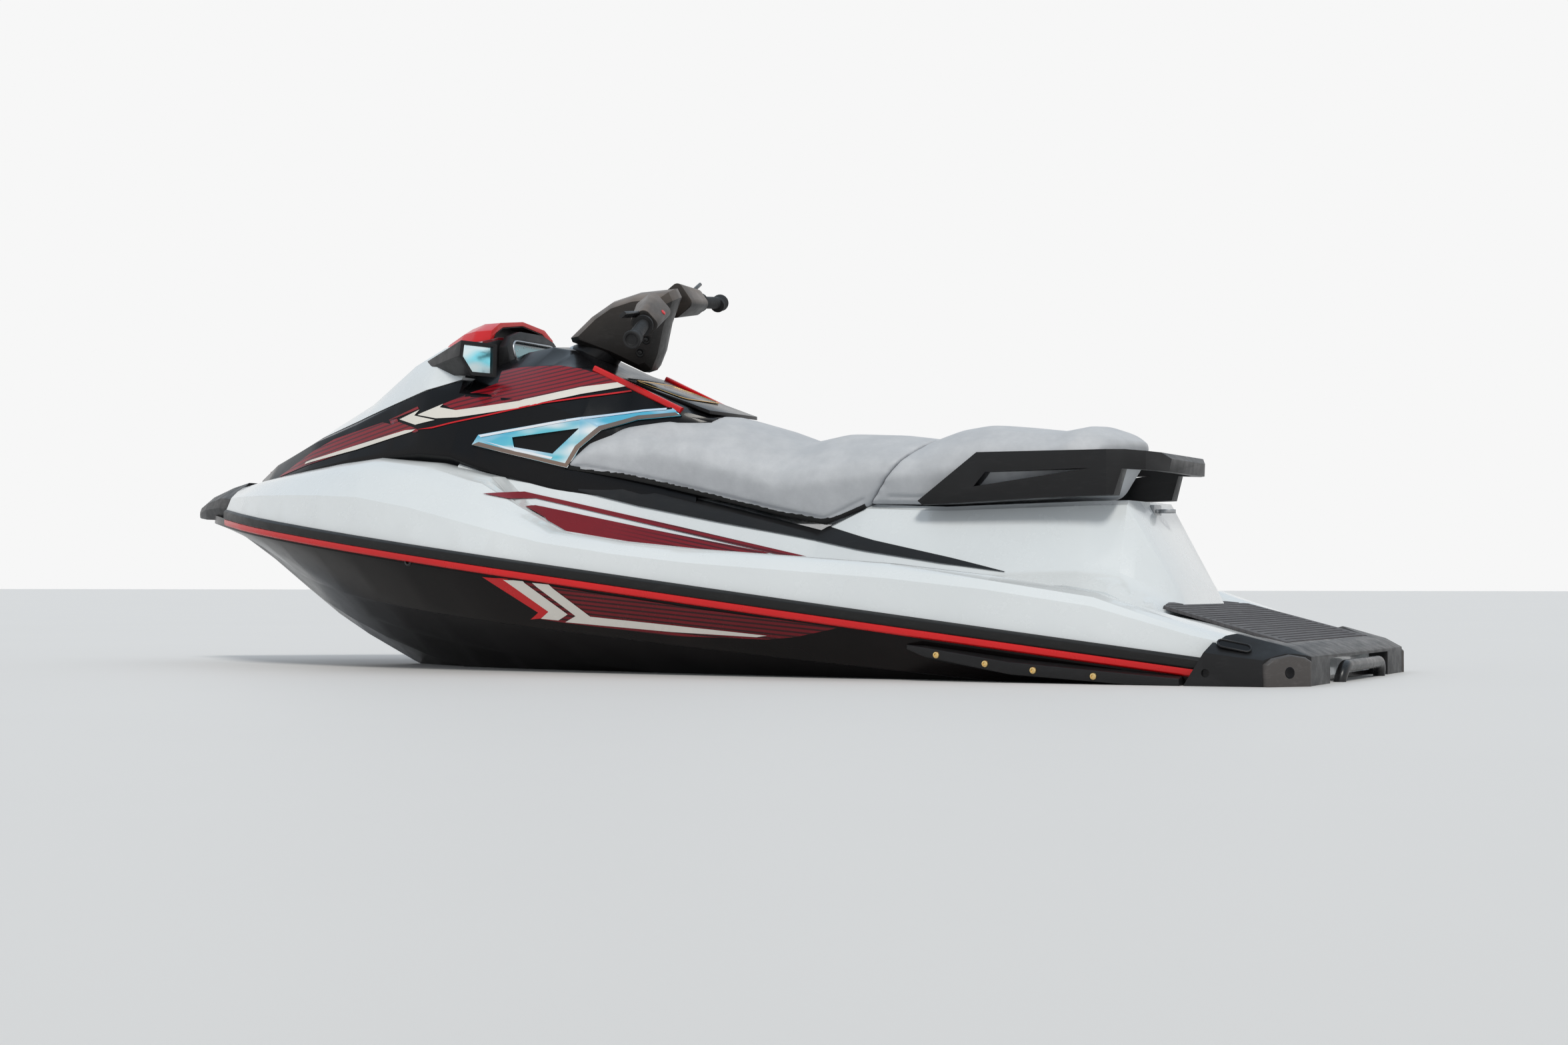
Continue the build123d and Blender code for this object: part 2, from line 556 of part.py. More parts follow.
# Glove box lid
with BuildPart() as glovebox_lid:
    add(prism([LID[0], (LID[0][0], LID[0][1] - LID_THICK), (LID[1][0], LID[1][1] - LID_THICK), LID[1]], LID_HALF))
    with Locations(Location((LID_HINGE[0], 0, LID_HINGE[1]), (90, 0, 0))):
        Cylinder(LID_BARREL, 2 * LID_HINGE_HALF)
        Cylinder(LID_PIN + SKIN, 2 * LID_HINGE_HALF, mode=Mode.SUBTRACT)

# Steering: a raked frame at the clamp, its z along the column and its y forward and up
rake = math.radians(COLUMN_RAKE)
CLAMP = (179, 0, 958)
STEER = Plane(origin=CLAMP, x_dir=(0, -1, 0), z_dir=(-math.sin(rake), 0, math.cos(rake)))
BARS = spun(STEER, STEER_REST)

COLUMN_TOP = (-176, 44)                      # place along the column, radius
COLUMN_FOOT = (-300, 70)
COLUMN_PIN = (-90, 12)
with BuildPart() as column_base:
    with BuildSketch(STEER.offset(COLUMN_TOP[0])):
        Circle(COLUMN_TOP[1])
    with BuildSketch(STEER.offset(COLUMN_FOOT[0])):
        Circle(COLUMN_FOOT[1])
    loft()
    with BuildSketch(STEER.offset(COLUMN_TOP[0])):
        Circle(COLUMN_PIN[1])
    extrude(amount=COLUMN_PIN[0] - COLUMN_TOP[0])
    add(cowl.part, mode=Mode.SUBTRACT)
    add(gauge_housing.part, mode=Mode.SUBTRACT)

COVER = [(-262, 72), (-200, -24), (-150, -120), (-128, -128), (-86, -106), (-24, -58), (44, -20), (50, 6),
         (-30, 56), (-104, 84), (-171, 90), (-258, 84)]          # side view of the cover, (z, y) in the frame
with BuildPart() as steering_cover:
    sections = []
    for x, share in ((-66, 0.78), (-40, 0.95), (0, 1.0), (40, 0.95), (66, 0.78)):
        middle = (-90, 10)
        points = [(x, middle[1] + (y - middle[1]) * share, middle[0] + (z - middle[0]) * share) for z, y in COVER]
        sections.append(Face(Wire.make_polygon([BARS.from_local_coords(Vector(*p)) for p in points], close=True)))
    loft(sections, ruled=True)
    with BuildSketch(STEER.offset(COLUMN_TOP[0] + GAP)):
        Circle(COLUMN_TOP[1] + GAP)
    with BuildSketch(STEER.offset(COLUMN_FOOT[0])):
        Circle(COLUMN_FOOT[1] + GAP + 2)
    loft(mode=Mode.SUBTRACT)
    with BuildSketch(STEER.offset(COLUMN_TOP[0])):
        Circle(COLUMN_PIN[1] + SKIN)
    extrude(amount=COLUMN_PIN[0] - COLUMN_TOP[0] + GAP, mode=Mode.SUBTRACT)

with BuildPart() as handlebar:
    with BuildLine(BARS):
        path = FilletPolyline((-BAR_HALF, -62, 4), (-150, -22, 0), (-60, 0, 0), (60, 0, 0), (150, -22, 0),
                              (BAR_HALF, -62, 4), radius=30)
    with BuildSketch(Plane(origin=path @ 0, z_dir=path % 0)):
        Circle(BAR_TUBE / 2)
    sweep()
    add(steering_cover.part, mode=Mode.SUBTRACT)

with BuildPart() as grips:
    for side in (1, -1):
        inner, outer = (BARS.from_local_coords(Vector(side * x, y, z))
                        for x, y, z in ((232, -37.5, 1.5), (BAR_HALF + 4, -62.7, 4.1)))
        along_grip = Plane(origin=inner, z_dir=outer - inner)
        length = (outer - inner).length
        with BuildSketch(along_grip):
            Circle(GRIP / 2)
        extrude(amount=length)
        with BuildSketch(along_grip):
            Circle(26)
        extrude(amount=9)
        with BuildSketch(along_grip.offset(length - 6)):
            Circle(20)
        extrude(amount=6)
    add(handlebar.part, mode=Mode.SUBTRACT)

with BuildPart() as switch_pods:
    for side in (1, -1):
        inner, outer = (BARS.from_local_coords(Vector(side * x, y, z))
                        for x, y, z in ((96, -9, 0), (222, -35, 1)))
        with BuildSketch(Plane(origin=inner, x_dir=BARS.y_dir, z_dir=outer - inner)):
            RectangleRounded(78, 74, 18)
        with BuildSketch(Plane(origin=outer, x_dir=BARS.y_dir, z_dir=outer - inner)):
            RectangleRounded(62, 58, 18)
        loft()
    add(steering_cover.part, mode=Mode.SUBTRACT)
    add(handlebar.part, mode=Mode.SUBTRACT)

# Throttle lever to starboard, reverse lever to port
with BuildPart() as levers:
    for side in (1, -1):
        inner, outer = (BARS.from_local_coords(Vector(side * x, y, z))
                        for x, y, z in ((206, -8, 2), (318, 6, 4)))
        with BuildSketch(Plane(origin=inner, x_dir=BARS.y_dir, z_dir=outer - inner)):
            RectangleRounded(10, 20, 4)
        extrude(amount=(outer - inner).length)
    add(switch_pods.part, mode=Mode.SUBTRACT)
    add(grips.part, mode=Mode.SUBTRACT)

# Grab handle: its outline and slot in side view, and the loop behind the seat in plan. It closes round the seat
HANDLE = [(-650, 417), (-662, 407), (-950, 420), (-1135, 424), (-1153, 485), (-1236, 480), (-1240, 510),
          (-1225, 524), (-1158, 530), (-800, 530)]
HANDLE_SLOT = [(-792, 449), (-822, 483), (-1078, 487)]
HANDLE_THICK = 24.0
HANDLE_HALF = max(bulge[0] for x, low, bulge, top, crown in SEAT_STATIONS if x < SEAT_SPLIT[0][0]) + HANDLE_THICK / 2
LOOP = (-1204.0, 36.0)                       # x of the loop's inner edge, and its thickness
with BuildPart() as grab_handle:
    add(prism(HANDLE, HANDLE_HALF))
    add(prism(HANDLE_SLOT, HANDLE_HALF + 5), mode=Mode.SUBTRACT)
    with BuildSketch(Plane.XY.offset(300)):
        with BuildLine():
            FilletPolyline((-500, HANDLE_HALF - HANDLE_THICK), (LOOP[0] + 24, HANDLE_HALF - HANDLE_THICK - 30),
                           (LOOP[0], 150), (LOOP[0], -150), (LOOP[0] + 24, 30 - HANDLE_HALF + HANDLE_THICK),
                           (-500, HANDLE_THICK - HANDLE_HALF), radius=24)
            Line((-500, HANDLE_THICK - HANDLE_HALF), (-500, HANDLE_HALF - HANDLE_THICK))
        make_face()
    extrude(amount=300, mode=Mode.SUBTRACT)
    with BuildSketch(Plane.XY.offset(300)) as round_off:
        with BuildLine():
            FilletPolyline((-500, 400), (-1400, 400), (-1400, -400), (-500, -400), (-500, -HANDLE_HALF),
                           (-1120, -HANDLE_HALF), (LOOP[0], 34 - HANDLE_HALF), (LOOP[0] - LOOP[1], -140),
                           (LOOP[0] - LOOP[1], 140), (LOOP[0], HANDLE_HALF - 34), (-1120, HANDLE_HALF),
                           (-500, HANDLE_HALF),
                           radius=1, close=True)
        make_face()
    extrude(amount=300, mode=Mode.SUBTRACT)
    add(seat.part, mode=Mode.SUBTRACT)
    add(deck.part, mode=Mode.SUBTRACT)

# Tow eye on the pedestal, under the handle
TOW_EYE = (LOOP[0] + 17, 392)                # x, z: a line drops into it past the loop
with BuildPart() as tow_eye:
    with Locations((TOW_EYE[0] + 24, 0, TOW_EYE[1])):
        Box(30, 24, 9)
    with Locations((-1158, 0, TOW_EYE[1])):
        Box(12, 56, 30)
    with Locations((TOW_EYE[0], 0, TOW_EYE[1])):
        Cylinder(20, 9)
        Cylinder(11, 20, mode=Mode.SUBTRACT)
    add(deck.part, mode=Mode.SUBTRACT)
    add(grab_handle.part, mode=Mode.SUBTRACT)

# Sponsons on the hull sides: x, (y, z) corners from the bottom outside round to the top inside
SPONSON_STATIONS = [
    (-1384, [(500, -11), (578, -7), (580, 15), (540, 23)]),
    (-1000, [(520, 12), (588, 20), (590, 46), (545, 60)]),
    (-800, [(530, 44), (590, 56), (590, 76), (556, 84)]),
    (-750, [(545, 66), (572, 72), (572, 82), (562, 86)]),
]
with BuildPart() as sponsons:
    loft([patch(x, corners) for x, corners in SPONSON_STATIONS], ruled=True)
    mirror(about=Plane.XZ)
    add(hull.part, mode=Mode.SUBTRACT)
    add(rail_stripe.part, mode=Mode.SUBTRACT)

# Ribbed mats on the footwell floors and the rear deck, laid along the deck's slope
MAT = 7.0


def on_slope(x, z, ahead):
    """The plane of a floor that passes (x, z) and (x + 100, z + ahead): its x runs forward along the floor."""
    return Plane(origin=(x, 0, z), x_dir=(100, 0, ahead), z_dir=(-ahead, 0, 100))


REAR_MAT = on_slope(-1603, 77, 27)
MAT_FROM = 34.0                              # where it begins, ahead of the stern bumper's lip
with BuildPart() as deck_mat:
    with BuildSketch(REAR_MAT):
        Polygon((MAT_FROM, -400), (MAT_FROM, 400), (330, 365), (356, 240), (356, -240), (330, -365), align=None)
    extrude(amount=MAT)
    with BuildSketch(REAR_MAT.offset(MAT)):
        with GridLocations(16, 1, 21, 1):
            with Locations((178, 0)):
                Rectangle(5, 700)
    extrude(amount=-2.5, mode=Mode.SUBTRACT)
    add(deck.part, mode=Mode.SUBTRACT)

with BuildPart() as footwell_mats:
    loft([patch(x, [(332, z), (466, z), (466, z + MAT), (332, z + MAT)])
          for x, z in ((-1060, 175), (-700, 188), (-200, 206), (80, 238))], ruled=True)
    mirror(about=Plane.XZ)
    add(deck.part, mode=Mode.SUBTRACT)

# Stern bumper, one moulding round the transom: x, half-breadth and top z of its side, shoulder (y, z), crown z
BUMPER_STATIONS = [
    (-1646, 560, 44, (470, 62), 64),
    (STERN, 562, 52, (490, 84), 85),
    (-1500, 569, 64, (508, 110), 112),
    (-1380, 576, 80, (524, 138), 140),
]
BUMPER_PLAN = [(-1375, 600), (-1375, 562), (-1456, 545), (-1536, 430), (-1574, 404), (-1574, -1), (-1646, -1),
               (-1644, 470), (-1560, 568), (-1500, 600)]
LIP = (300, 56)                              # half-breadth and underside of the lip over the boarding step
with BuildPart() as stern_bumpers:
    loft([outline(x, [(0, -6), (side, -6), (side, top), shoulder, (0, crown)])
          for x, side, top, shoulder, crown in BUMPER_STATIONS], ruled=True)
    add(behind_front, mode=Mode.INTERSECT)
    with BuildSketch(Plane.XY.offset(-20)):
        with BuildLine():
            Polyline(*BUMPER_PLAN, close=True)
        make_face()
    extrude(amount=200, mode=Mode.INTERSECT)
    add(prism([(-1700, -50), (STERN, -50), (STERN, LIP[1]), (-1700, LIP[1])], LIP[0]), mode=Mode.SUBTRACT)
    with BuildSketch(Plane(origin=(-1600, 516, 30), z_dir=(-1, 0.87, 0))):
        Circle(9)
    extrude(amount=-40, both=True, mode=Mode.SUBTRACT)
    with BuildSketch(Plane(origin=(-1440, 562, 28), z_dir=(0, 1, 0))):
        Circle(9)
    extrude(amount=30, mode=Mode.SUBTRACT)
    with BuildSketch(Plane(origin=(-1490, 540, 92), x_dir=(1, 0.1, 0.2), z_dir=(-0.2, 0.75, 1))):
        SlotOverall(70, 22)
    extrude(amount=-9, both=True, mode=Mode.SUBTRACT)
    mirror(about=Plane.XZ)
    for neighbour in (hull, deck, deck_mat):
        add(neighbour.part, mode=Mode.SUBTRACT)

with BuildPart() as pump_housing:
    add(turned([(PUMP_R, TUNNEL[0]), (PUMP_R + 22, TUNNEL[0]), (PUMP_R + 22, TUNNEL[0] + 12),
                (PUMP_R + PUMP_WALL, TUNNEL[0] + 12), (PUMP_R + PUMP_WALL, 165), (MOUTH_R + 8, MOUTH_FROM),
                (MOUTH_R + 8, PUMP_END), (MOUTH_R, PUMP_END), (MOUTH_R, MOUTH_FROM), (PUMP_R, 165)]))
    with BuildSketch(PUMP.offset(92)):
        Circle(30)
    extrude(amount=66)
    with BuildSketch(PUMP.offset(158)):
        Circle(30)
    with BuildSketch(PUMP.offset(250)):
        Circle(8)
    loft()
    with BuildSketch(PUMP.offset(96)):
        with PolarLocations(0, VANES):
            with Locations((27, 0)):
                Rectangle(PUMP_R - 24, 5, align=(Align.MIN, Align.CENTER))
    extrude(amount=58)
    for side in (1, -1):
        with BuildSketch(PUMP.offset(150)):
            with Locations((side * (EAR[0] + EAR[1]) / 2, 0)):
                Rectangle(EAR[1] - EAR[0], 30)
        extrude(amount=BUCKET_PIVOT + 14 - 150)
    for side in (1, -1):
        with BuildSketch(Plane(origin=PUMP.from_local_coords(Vector(side * EAR[1], 0, BUCKET_PIVOT)),
                               z_dir=(0, side, 0))):
            Circle(8)
        extrude(amount=BUCKET_HALF + 10 - EAR[1])
        with BuildSketch(Plane(origin=PUMP.from_local_coords(Vector(0, side * MOUTH_R, NOZZLE_PIVOT)),
                               z_dir=PUMP.y_dir * side)):
            Circle(7)
        extrude(amount=32)

with BuildPart() as impeller:
    with BuildSketch(PUMP.offset(-8)):
        Circle(30)
    extrude(amount=94)
    with BuildSketch(PUMP.offset(-40)):
        Circle(SHAFT / 2)
    with BuildSketch(PUMP.offset(-8)):
        Circle(30)
    loft()
    for blade in range(BLADES):
        for step in range(5):
            with BuildSketch(spun(PUMP.offset(2 + 19 * step), blade * 360 / BLADES + 24 * step)):
                with Locations((27, 0)):
                    Rectangle(IMPELLER / 2 - 27, 5, align=(Align.MIN, Align.CENTER))
        loft(ruled=True)

shaft_run = (ENGINE[0] - PUMP.origin.X) / math.cos(tilt) - SHAFT / 2 * math.tan(tilt) - SKIN
with BuildPart() as drive_shaft:
    with BuildSketch(PUMP.offset(-40)):
        Circle(SHAFT / 2)
    extrude(amount=-(shaft_run - 40))

NOZZLE = Plane(origin=PUMP.from_local_coords(Vector(0, 0, NOZZLE_PIVOT)), x_dir=PUMP.x_dir, z_dir=PUMP.z_dir)
with BuildPart() as straight_nozzle:
    add(turned([(MOUTH_R + 22, 302), (MOUTH_R + 29, 302), (MOUTH_R + 29, 335), (MOUTH_R + 6, NOZZLE_END),
                (MOUTH_R - 2, NOZZLE_END), (MOUTH_R + 18, 338), (MOUTH_R + 22, 330)]))
    with BuildSketch(Plane(origin=NOZZLE.origin, z_dir=PUMP.y_dir)):
        Circle(7.6)
    extrude(amount=100, both=True, mode=Mode.SUBTRACT)
with BuildPart() as steering_nozzle:                                 # turned to port with the bars
    add(straight_nozzle.part.rotate(Axis(NOZZLE.origin, PUMP.y_dir), STEER_REST))

BUCKET_PLANE = Plane(origin=PUMP.from_local_coords(Vector(0, 0, BUCKET_PIVOT)), x_dir=PUMP.z_dir, z_dir=(0, 1, 0))


def bucket_point(radius, angle):
    """A point of the bucket's side view, by its angle above the shaft line, aft of the pivot."""
    sign = 1 if BUCKET_PLANE.y_dir.Z > 0 else -1
    return (radius * math.cos(math.radians(angle)), sign * radius * math.sin(math.radians(angle)))


with BuildPart() as reverse_bucket:
    with BuildSketch(BUCKET_PLANE):
        with BuildLine():
            outer = ThreePointArc(*(bucket_point(BUCKET_R + 7, a) for a in (26, 62, 98)))
            Line(outer @ 1, bucket_point(20, 98))
            Line(bucket_point(20, 98), bucket_point(20, 200))
            Line(bucket_point(20, 200), bucket_point(20, -60))
            Line(bucket_point(20, -60), outer @ 0)
        make_face()
    extrude(amount=BUCKET_HALF + 6, both=True)
    with BuildSketch(BUCKET_PLANE):
        Circle(BUCKET_R)
    extrude(amount=BUCKET_HALF, both=True, mode=Mode.SUBTRACT)
    with BuildSketch(BUCKET_PLANE):
        Circle(8.5)
    extrude(amount=BUCKET_HALF + 20, both=True, mode=Mode.SUBTRACT)

# Ride plate under the pump, and the grate over the intake
def keel(x):
    """Height of the keel aft of amidships."""
    return HULL_STATIONS[1][1] + (x + 1000) * (HULL_STATIONS[1][1] - HULL_STATIONS[0][1]) / (-1000 - STERN)


V_SLOPE = (255 - 62) / 455
RIDE_END = -1500.0                           # ahead of the bucket's swing
with BuildPart() as ride_plate:
    half = TUNNEL[1] / 2 - SKIN
    loft([outline(x, [(0, keel(x)), (half, keel(x) + half * V_SLOPE), (half, keel(x) + half * V_SLOPE + 8),
                      (0, keel(x) + 14)]) for x in (-1190, RIDE_END)], ruled=True)
with BuildPart() as intake_grate:
    for y in (-48, -16, 16, 48):
        bar = prism([(-1140, keel(-1140) + 30), (-1140, keel(-1140) + 44), (-600, keel(-600) + 44),
                     (-600, keel(-600) + 30)], 4).moved(Location((0, y, 0)))
        add(bar & intake.part)

# Boarding step, folded up behind the transom
STEP_PIVOT = (-1628, -95)
STEP_TOP = (-1650, 35)
STEP_HALF = 205.0
STEP_TUBE = 28.0
with BuildPart() as step_brackets:
    for side in (1, -1):
        for y in (STEP_HALF - 24, STEP_HALF + 24):
            add(prism([(STERN, STEP_PIVOT[1] - 24), (STERN, STEP_PIVOT[1] + 24),
                       (STEP_PIVOT[0] - 8, STEP_PIVOT[1] + 14), (STEP_PIVOT[0] - 8, STEP_PIVOT[1] - 14)],
                      4).moved(Location((0, side * y, 0))))
        with BuildSketch(Plane.XZ.offset(-side * STEP_HALF)):
            with Locations(STEP_PIVOT):
                Circle(5)
        extrude(amount=28, both=True)
        with Locations((STERN - 2, side * STEP_HALF, STEP_PIVOT[1])):
            Box(4, 60, 60)
with BuildPart() as boarding_step:
    with BuildLine():
        step_path = FilletPolyline((STEP_PIVOT[0], STEP_HALF, STEP_PIVOT[1]), (STEP_TOP[0], STEP_HALF, STEP_TOP[1]),
                                   (STEP_TOP[0], -STEP_HALF, STEP_TOP[1]),
                                   (STEP_PIVOT[0], -STEP_HALF, STEP_PIVOT[1]), radius=42)
    with BuildSketch(Plane(origin=step_path @ 0, z_dir=step_path % 0)):
        Circle(STEP_TUBE / 2)
    sweep()
    for side in (1, -1):
        with Locations((STEP_PIVOT[0], side * STEP_HALF, STEP_PIVOT[1])):
            Cylinder(STEP_TUBE / 2 + 2, 34, rotation=(90, 0, 0))
            Cylinder(5.5, 80, rotation=(90, 0, 0), mode=Mode.SUBTRACT)

# Drain plugs in the transom
with BuildPart() as drain_plugs:
    for side in (1, -1):
        with BuildSketch(Plane(origin=(STERN, side * 300, -80), z_dir=(-1, 0, 0))):
            RegularPolygon(18, 6)
        extrude(amount=12)

everything = {
    "hull": hull, "engine_block": engine_block, "deck": deck, "rub_rail": rub_rail, "rail_stripe": rail_stripe,
    "nose_bumper": nose_bumper, "cowl": cowl, "side_bands": side_bands, "side_trims": side_trims,
    "edge_bars": edge_bars, "gauge_housing": gauge_housing, "gauge_face": gauge_face, "visor": visor,
    "hood_spine": hood_spine, "hood_wings": hood_wings, "mirror_housings": mirror_housings,
    "mirror_glasses": mirror_glasses, "glovebox_lid": glovebox_lid, "column_base": column_base,
    "steering_cover": steering_cover, "handlebar": handlebar, "grips": grips, "switch_pods": switch_pods,
    "levers": levers, "grab_handle": grab_handle, "seat_front": seat_front, "seat_rear": seat_rear,
    "tow_eye": tow_eye, "sponsons": sponsons, "deck_mat": deck_mat, "footwell_mats": footwell_mats,
    "stern_bumpers": stern_bumpers, "pump_housing": pump_housing, "impeller": impeller,
    "drive_shaft": drive_shaft, "steering_nozzle": steering_nozzle, "reverse_bucket": reverse_bucket,
    "ride_plate": ride_plate, "intake_grate": intake_grate, "step_brackets": step_brackets,
    "boarding_step": boarding_step, "drain_plugs": drain_plugs,
}
for name, body in everything.items():
    solids = body.part.solids()
    print(name, len(solids), [round(one.volume / 1000) for one in solids], body.part.is_valid)
    body.part.label = name
    export_step(body.part, f"parts/{name}.step")
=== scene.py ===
"""Looks of the personal watercraft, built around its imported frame. Metres, in the frame's own axes:
+X to the bow, +Y to port, +Z up, with the water at z = 0."""
import json
import math

import bmesh
import bpy
import numpy
from mathutils import Matrix, Vector
from mathutils.bvhtree import BVHTree
from mathutils.geometry import delaunay_2d_cdt


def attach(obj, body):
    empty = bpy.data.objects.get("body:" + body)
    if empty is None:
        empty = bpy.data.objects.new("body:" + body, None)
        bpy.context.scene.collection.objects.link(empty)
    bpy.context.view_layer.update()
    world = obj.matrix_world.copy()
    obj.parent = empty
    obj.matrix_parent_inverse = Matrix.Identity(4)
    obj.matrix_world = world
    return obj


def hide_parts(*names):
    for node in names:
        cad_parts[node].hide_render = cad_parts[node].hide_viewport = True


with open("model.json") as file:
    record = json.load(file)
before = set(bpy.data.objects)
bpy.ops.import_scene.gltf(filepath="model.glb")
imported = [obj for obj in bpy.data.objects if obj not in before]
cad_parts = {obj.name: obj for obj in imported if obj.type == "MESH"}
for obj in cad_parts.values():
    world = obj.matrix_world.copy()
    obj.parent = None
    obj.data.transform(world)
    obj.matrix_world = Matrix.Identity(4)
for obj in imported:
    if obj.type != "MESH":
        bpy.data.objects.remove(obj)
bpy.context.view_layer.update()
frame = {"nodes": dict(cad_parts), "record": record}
NODES = frame["nodes"]
SLOT_OF = {entry["node"]: entry["material_slot"] for entry in frame["record"]["subparts"]}

# Camera, worked out from the photograph, whose frame is 2352 pixels wide
PHOTO_WIDTH = 2352
FOCAL_PIXELS = 3768.0
CAMERA_AT = (-2.925, 5.814, 0.222)
CAMERA_YAW = 0.442           # radians from -Y towards +X
CAMERA_PITCH = 0.02388       # radians above the horizon
CAMERA_REACH = 400.0
SENSOR = 36.0                # millimetres

# Stage
FLOOR_HALF = 60.0
FLOOR_COLOUR = (0.80, 0.80, 0.80)
FLOOR_ROUGH = 0.55
SKY_LOW = (0.93, 0.93, 0.93)
SKY_HIGH = (0.62, 0.76, 0.90)
FILL_COLOUR = (0.92, 0.96, 1.0)
FILL = 0.50                  # strength of the world as a light
KEY_COLOUR = (1.0, 0.965, 0.90)
KEY = 1.55                   # strength of the sun
KEY_FROM = (-0.42, 0.62, 0.80)
KEY_SPREAD = 14.0            # degrees

GRIP_LINE = (0.152, -0.925, 0.348)           # direction of the starboard grip, and of both grips' ribs

FINISH = {}                  # every finish by its name


# Shader helpers

def shader(name):
    """A new finish: its tree, its Principled node and the object's coordinates."""
    material = bpy.data.materials.new(name)
    FINISH[name] = material
    material.use_nodes = True
    tree = material.node_tree
    return tree, tree.nodes["Principled BSDF"], tree.nodes.new("ShaderNodeTexCoord").outputs["Object"]


def noise(tree, where, scale, detail=4.0, rough=0.55):
    """The value of a noise texture."""
    node = tree.nodes.new("ShaderNodeTexNoise")
    node.inputs["Scale"].default_value = scale
    node.inputs["Detail"].default_value = detail
    node.inputs["Roughness"].default_value = rough
    tree.links.new(where, node.inputs["Vector"])
    return node.outputs["Fac"]


def cells(tree, where, scale):
    """The distance to the nearest cell edge of a Voronoi texture."""
    node = tree.nodes.new("ShaderNodeTexVoronoi")
    node.feature = "DISTANCE_TO_EDGE"
    node.inputs["Scale"].default_value = scale
    tree.links.new(where, node.inputs["Vector"])
    return node.outputs["Distance"]


def stretched(tree, where, scale):
    """The coordinates, scaled differently along each axis."""
    node = tree.nodes.new("ShaderNodeMapping")
    node.inputs["Scale"].default_value = scale
    tree.links.new(where, node.inputs["Vector"])
    return node.outputs["Vector"]


def split(tree, vector):
    """The outputs X, Y and Z of a vector."""
    node = tree.nodes.new("ShaderNodeSeparateXYZ")
    tree.links.new(vector, node.inputs[0])
    return node.outputs


def figured(tree, operation, *values):
    """The result of a Math node: each value is a socket or a number."""
    node = tree.nodes.new("ShaderNodeMath")
    node.operation = operation
    for socket, value in zip(node.inputs, values):
        if isinstance(value, (int, float)):
            socket.default_value = value
        else:
            tree.links.new(value, socket)
    return node.outputs[0]


def ranged(tree, value, low, high, size=1.0, start=0.0):
    """A value mapped from low..high to start..start + size, clamped."""
    node = tree.nodes.new("ShaderNodeMapRange")
    for socket, number in zip(("From Min", "From Max", "To Min", "To Max"), (low, high, start, start + size)):
        node.inputs[socket].default_value = number
    tree.links.new(value, node.inputs["Value"])
    return node.outputs["Result"]


def ramp(tree, value, stops):
    """A colour ramp over a value: stops are (place, colour)."""
    node = tree.nodes.new("ShaderNodeValToRGB")
    while len(node.color_ramp.elements) < len(stops):
        node.color_ramp.elements.new(0.5)
    for element, (place, colour) in zip(node.color_ramp.elements, stops):
        element.position = place
        element.color = (*colour, 1.0)
    tree.links.new(value, node.inputs["Fac"])
    return node.outputs["Color"]


def mixed(tree, share, low, high):
    """A blend of two colours, which are sockets or plain colours."""
    node = tree.nodes.new("ShaderNodeMix")
    node.data_type = "RGBA"
    tree.links.new(share, node.inputs["Factor"])
    for socket, colour in ((node.inputs[6], low), (node.inputs[7], high)):
        if isinstance(colour, tuple):
            socket.default_value = (*colour, 1.0)
        else:
            tree.links.new(colour, socket)
    return node.outputs[2]


def toned(colour, factor, more=0.0):
    """A colour made darker or paler."""
    return tuple(min(1.0, channel * factor + more) for channel in colour)


def bump(tree, bsdf, height, strength, distance):
    """Height on the Principled node's normal, over any bump that is there already."""
    node = tree.nodes.new("ShaderNodeBump")
    node.inputs["Strength"].default_value = strength
    node.inputs["Distance"].default_value = distance
    tree.links.new(height, node.inputs["Height"])
    if bsdf.inputs["Normal"].links:
        tree.links.new(bsdf.inputs["Normal"].links[0].from_socket, node.inputs["Normal"])
    tree.links.new(node.outputs["Normal"], bsdf.inputs["Normal"])


def pinstripes(tree, where, slope, pitch, share, begin=None, full=None):
    """1 on lines a pitch apart that climb by the slope along x, 0 between them. They may fade in, from the x
    where they begin to the x where they are full."""
    axes = split(tree, where)
    risen = figured(tree, "SUBTRACT", axes["Z"], figured(tree, "MULTIPLY", axes["X"], slope))
    line = figured(tree, "LESS_THAN", figured(tree, "FRACT", figured(tree, "DIVIDE", risen, pitch)), share)
    if begin is None:
        return line
    return figured(tree, "MULTIPLY", line, ranged(tree, axes["X"], begin, full))


# Kinds of finish

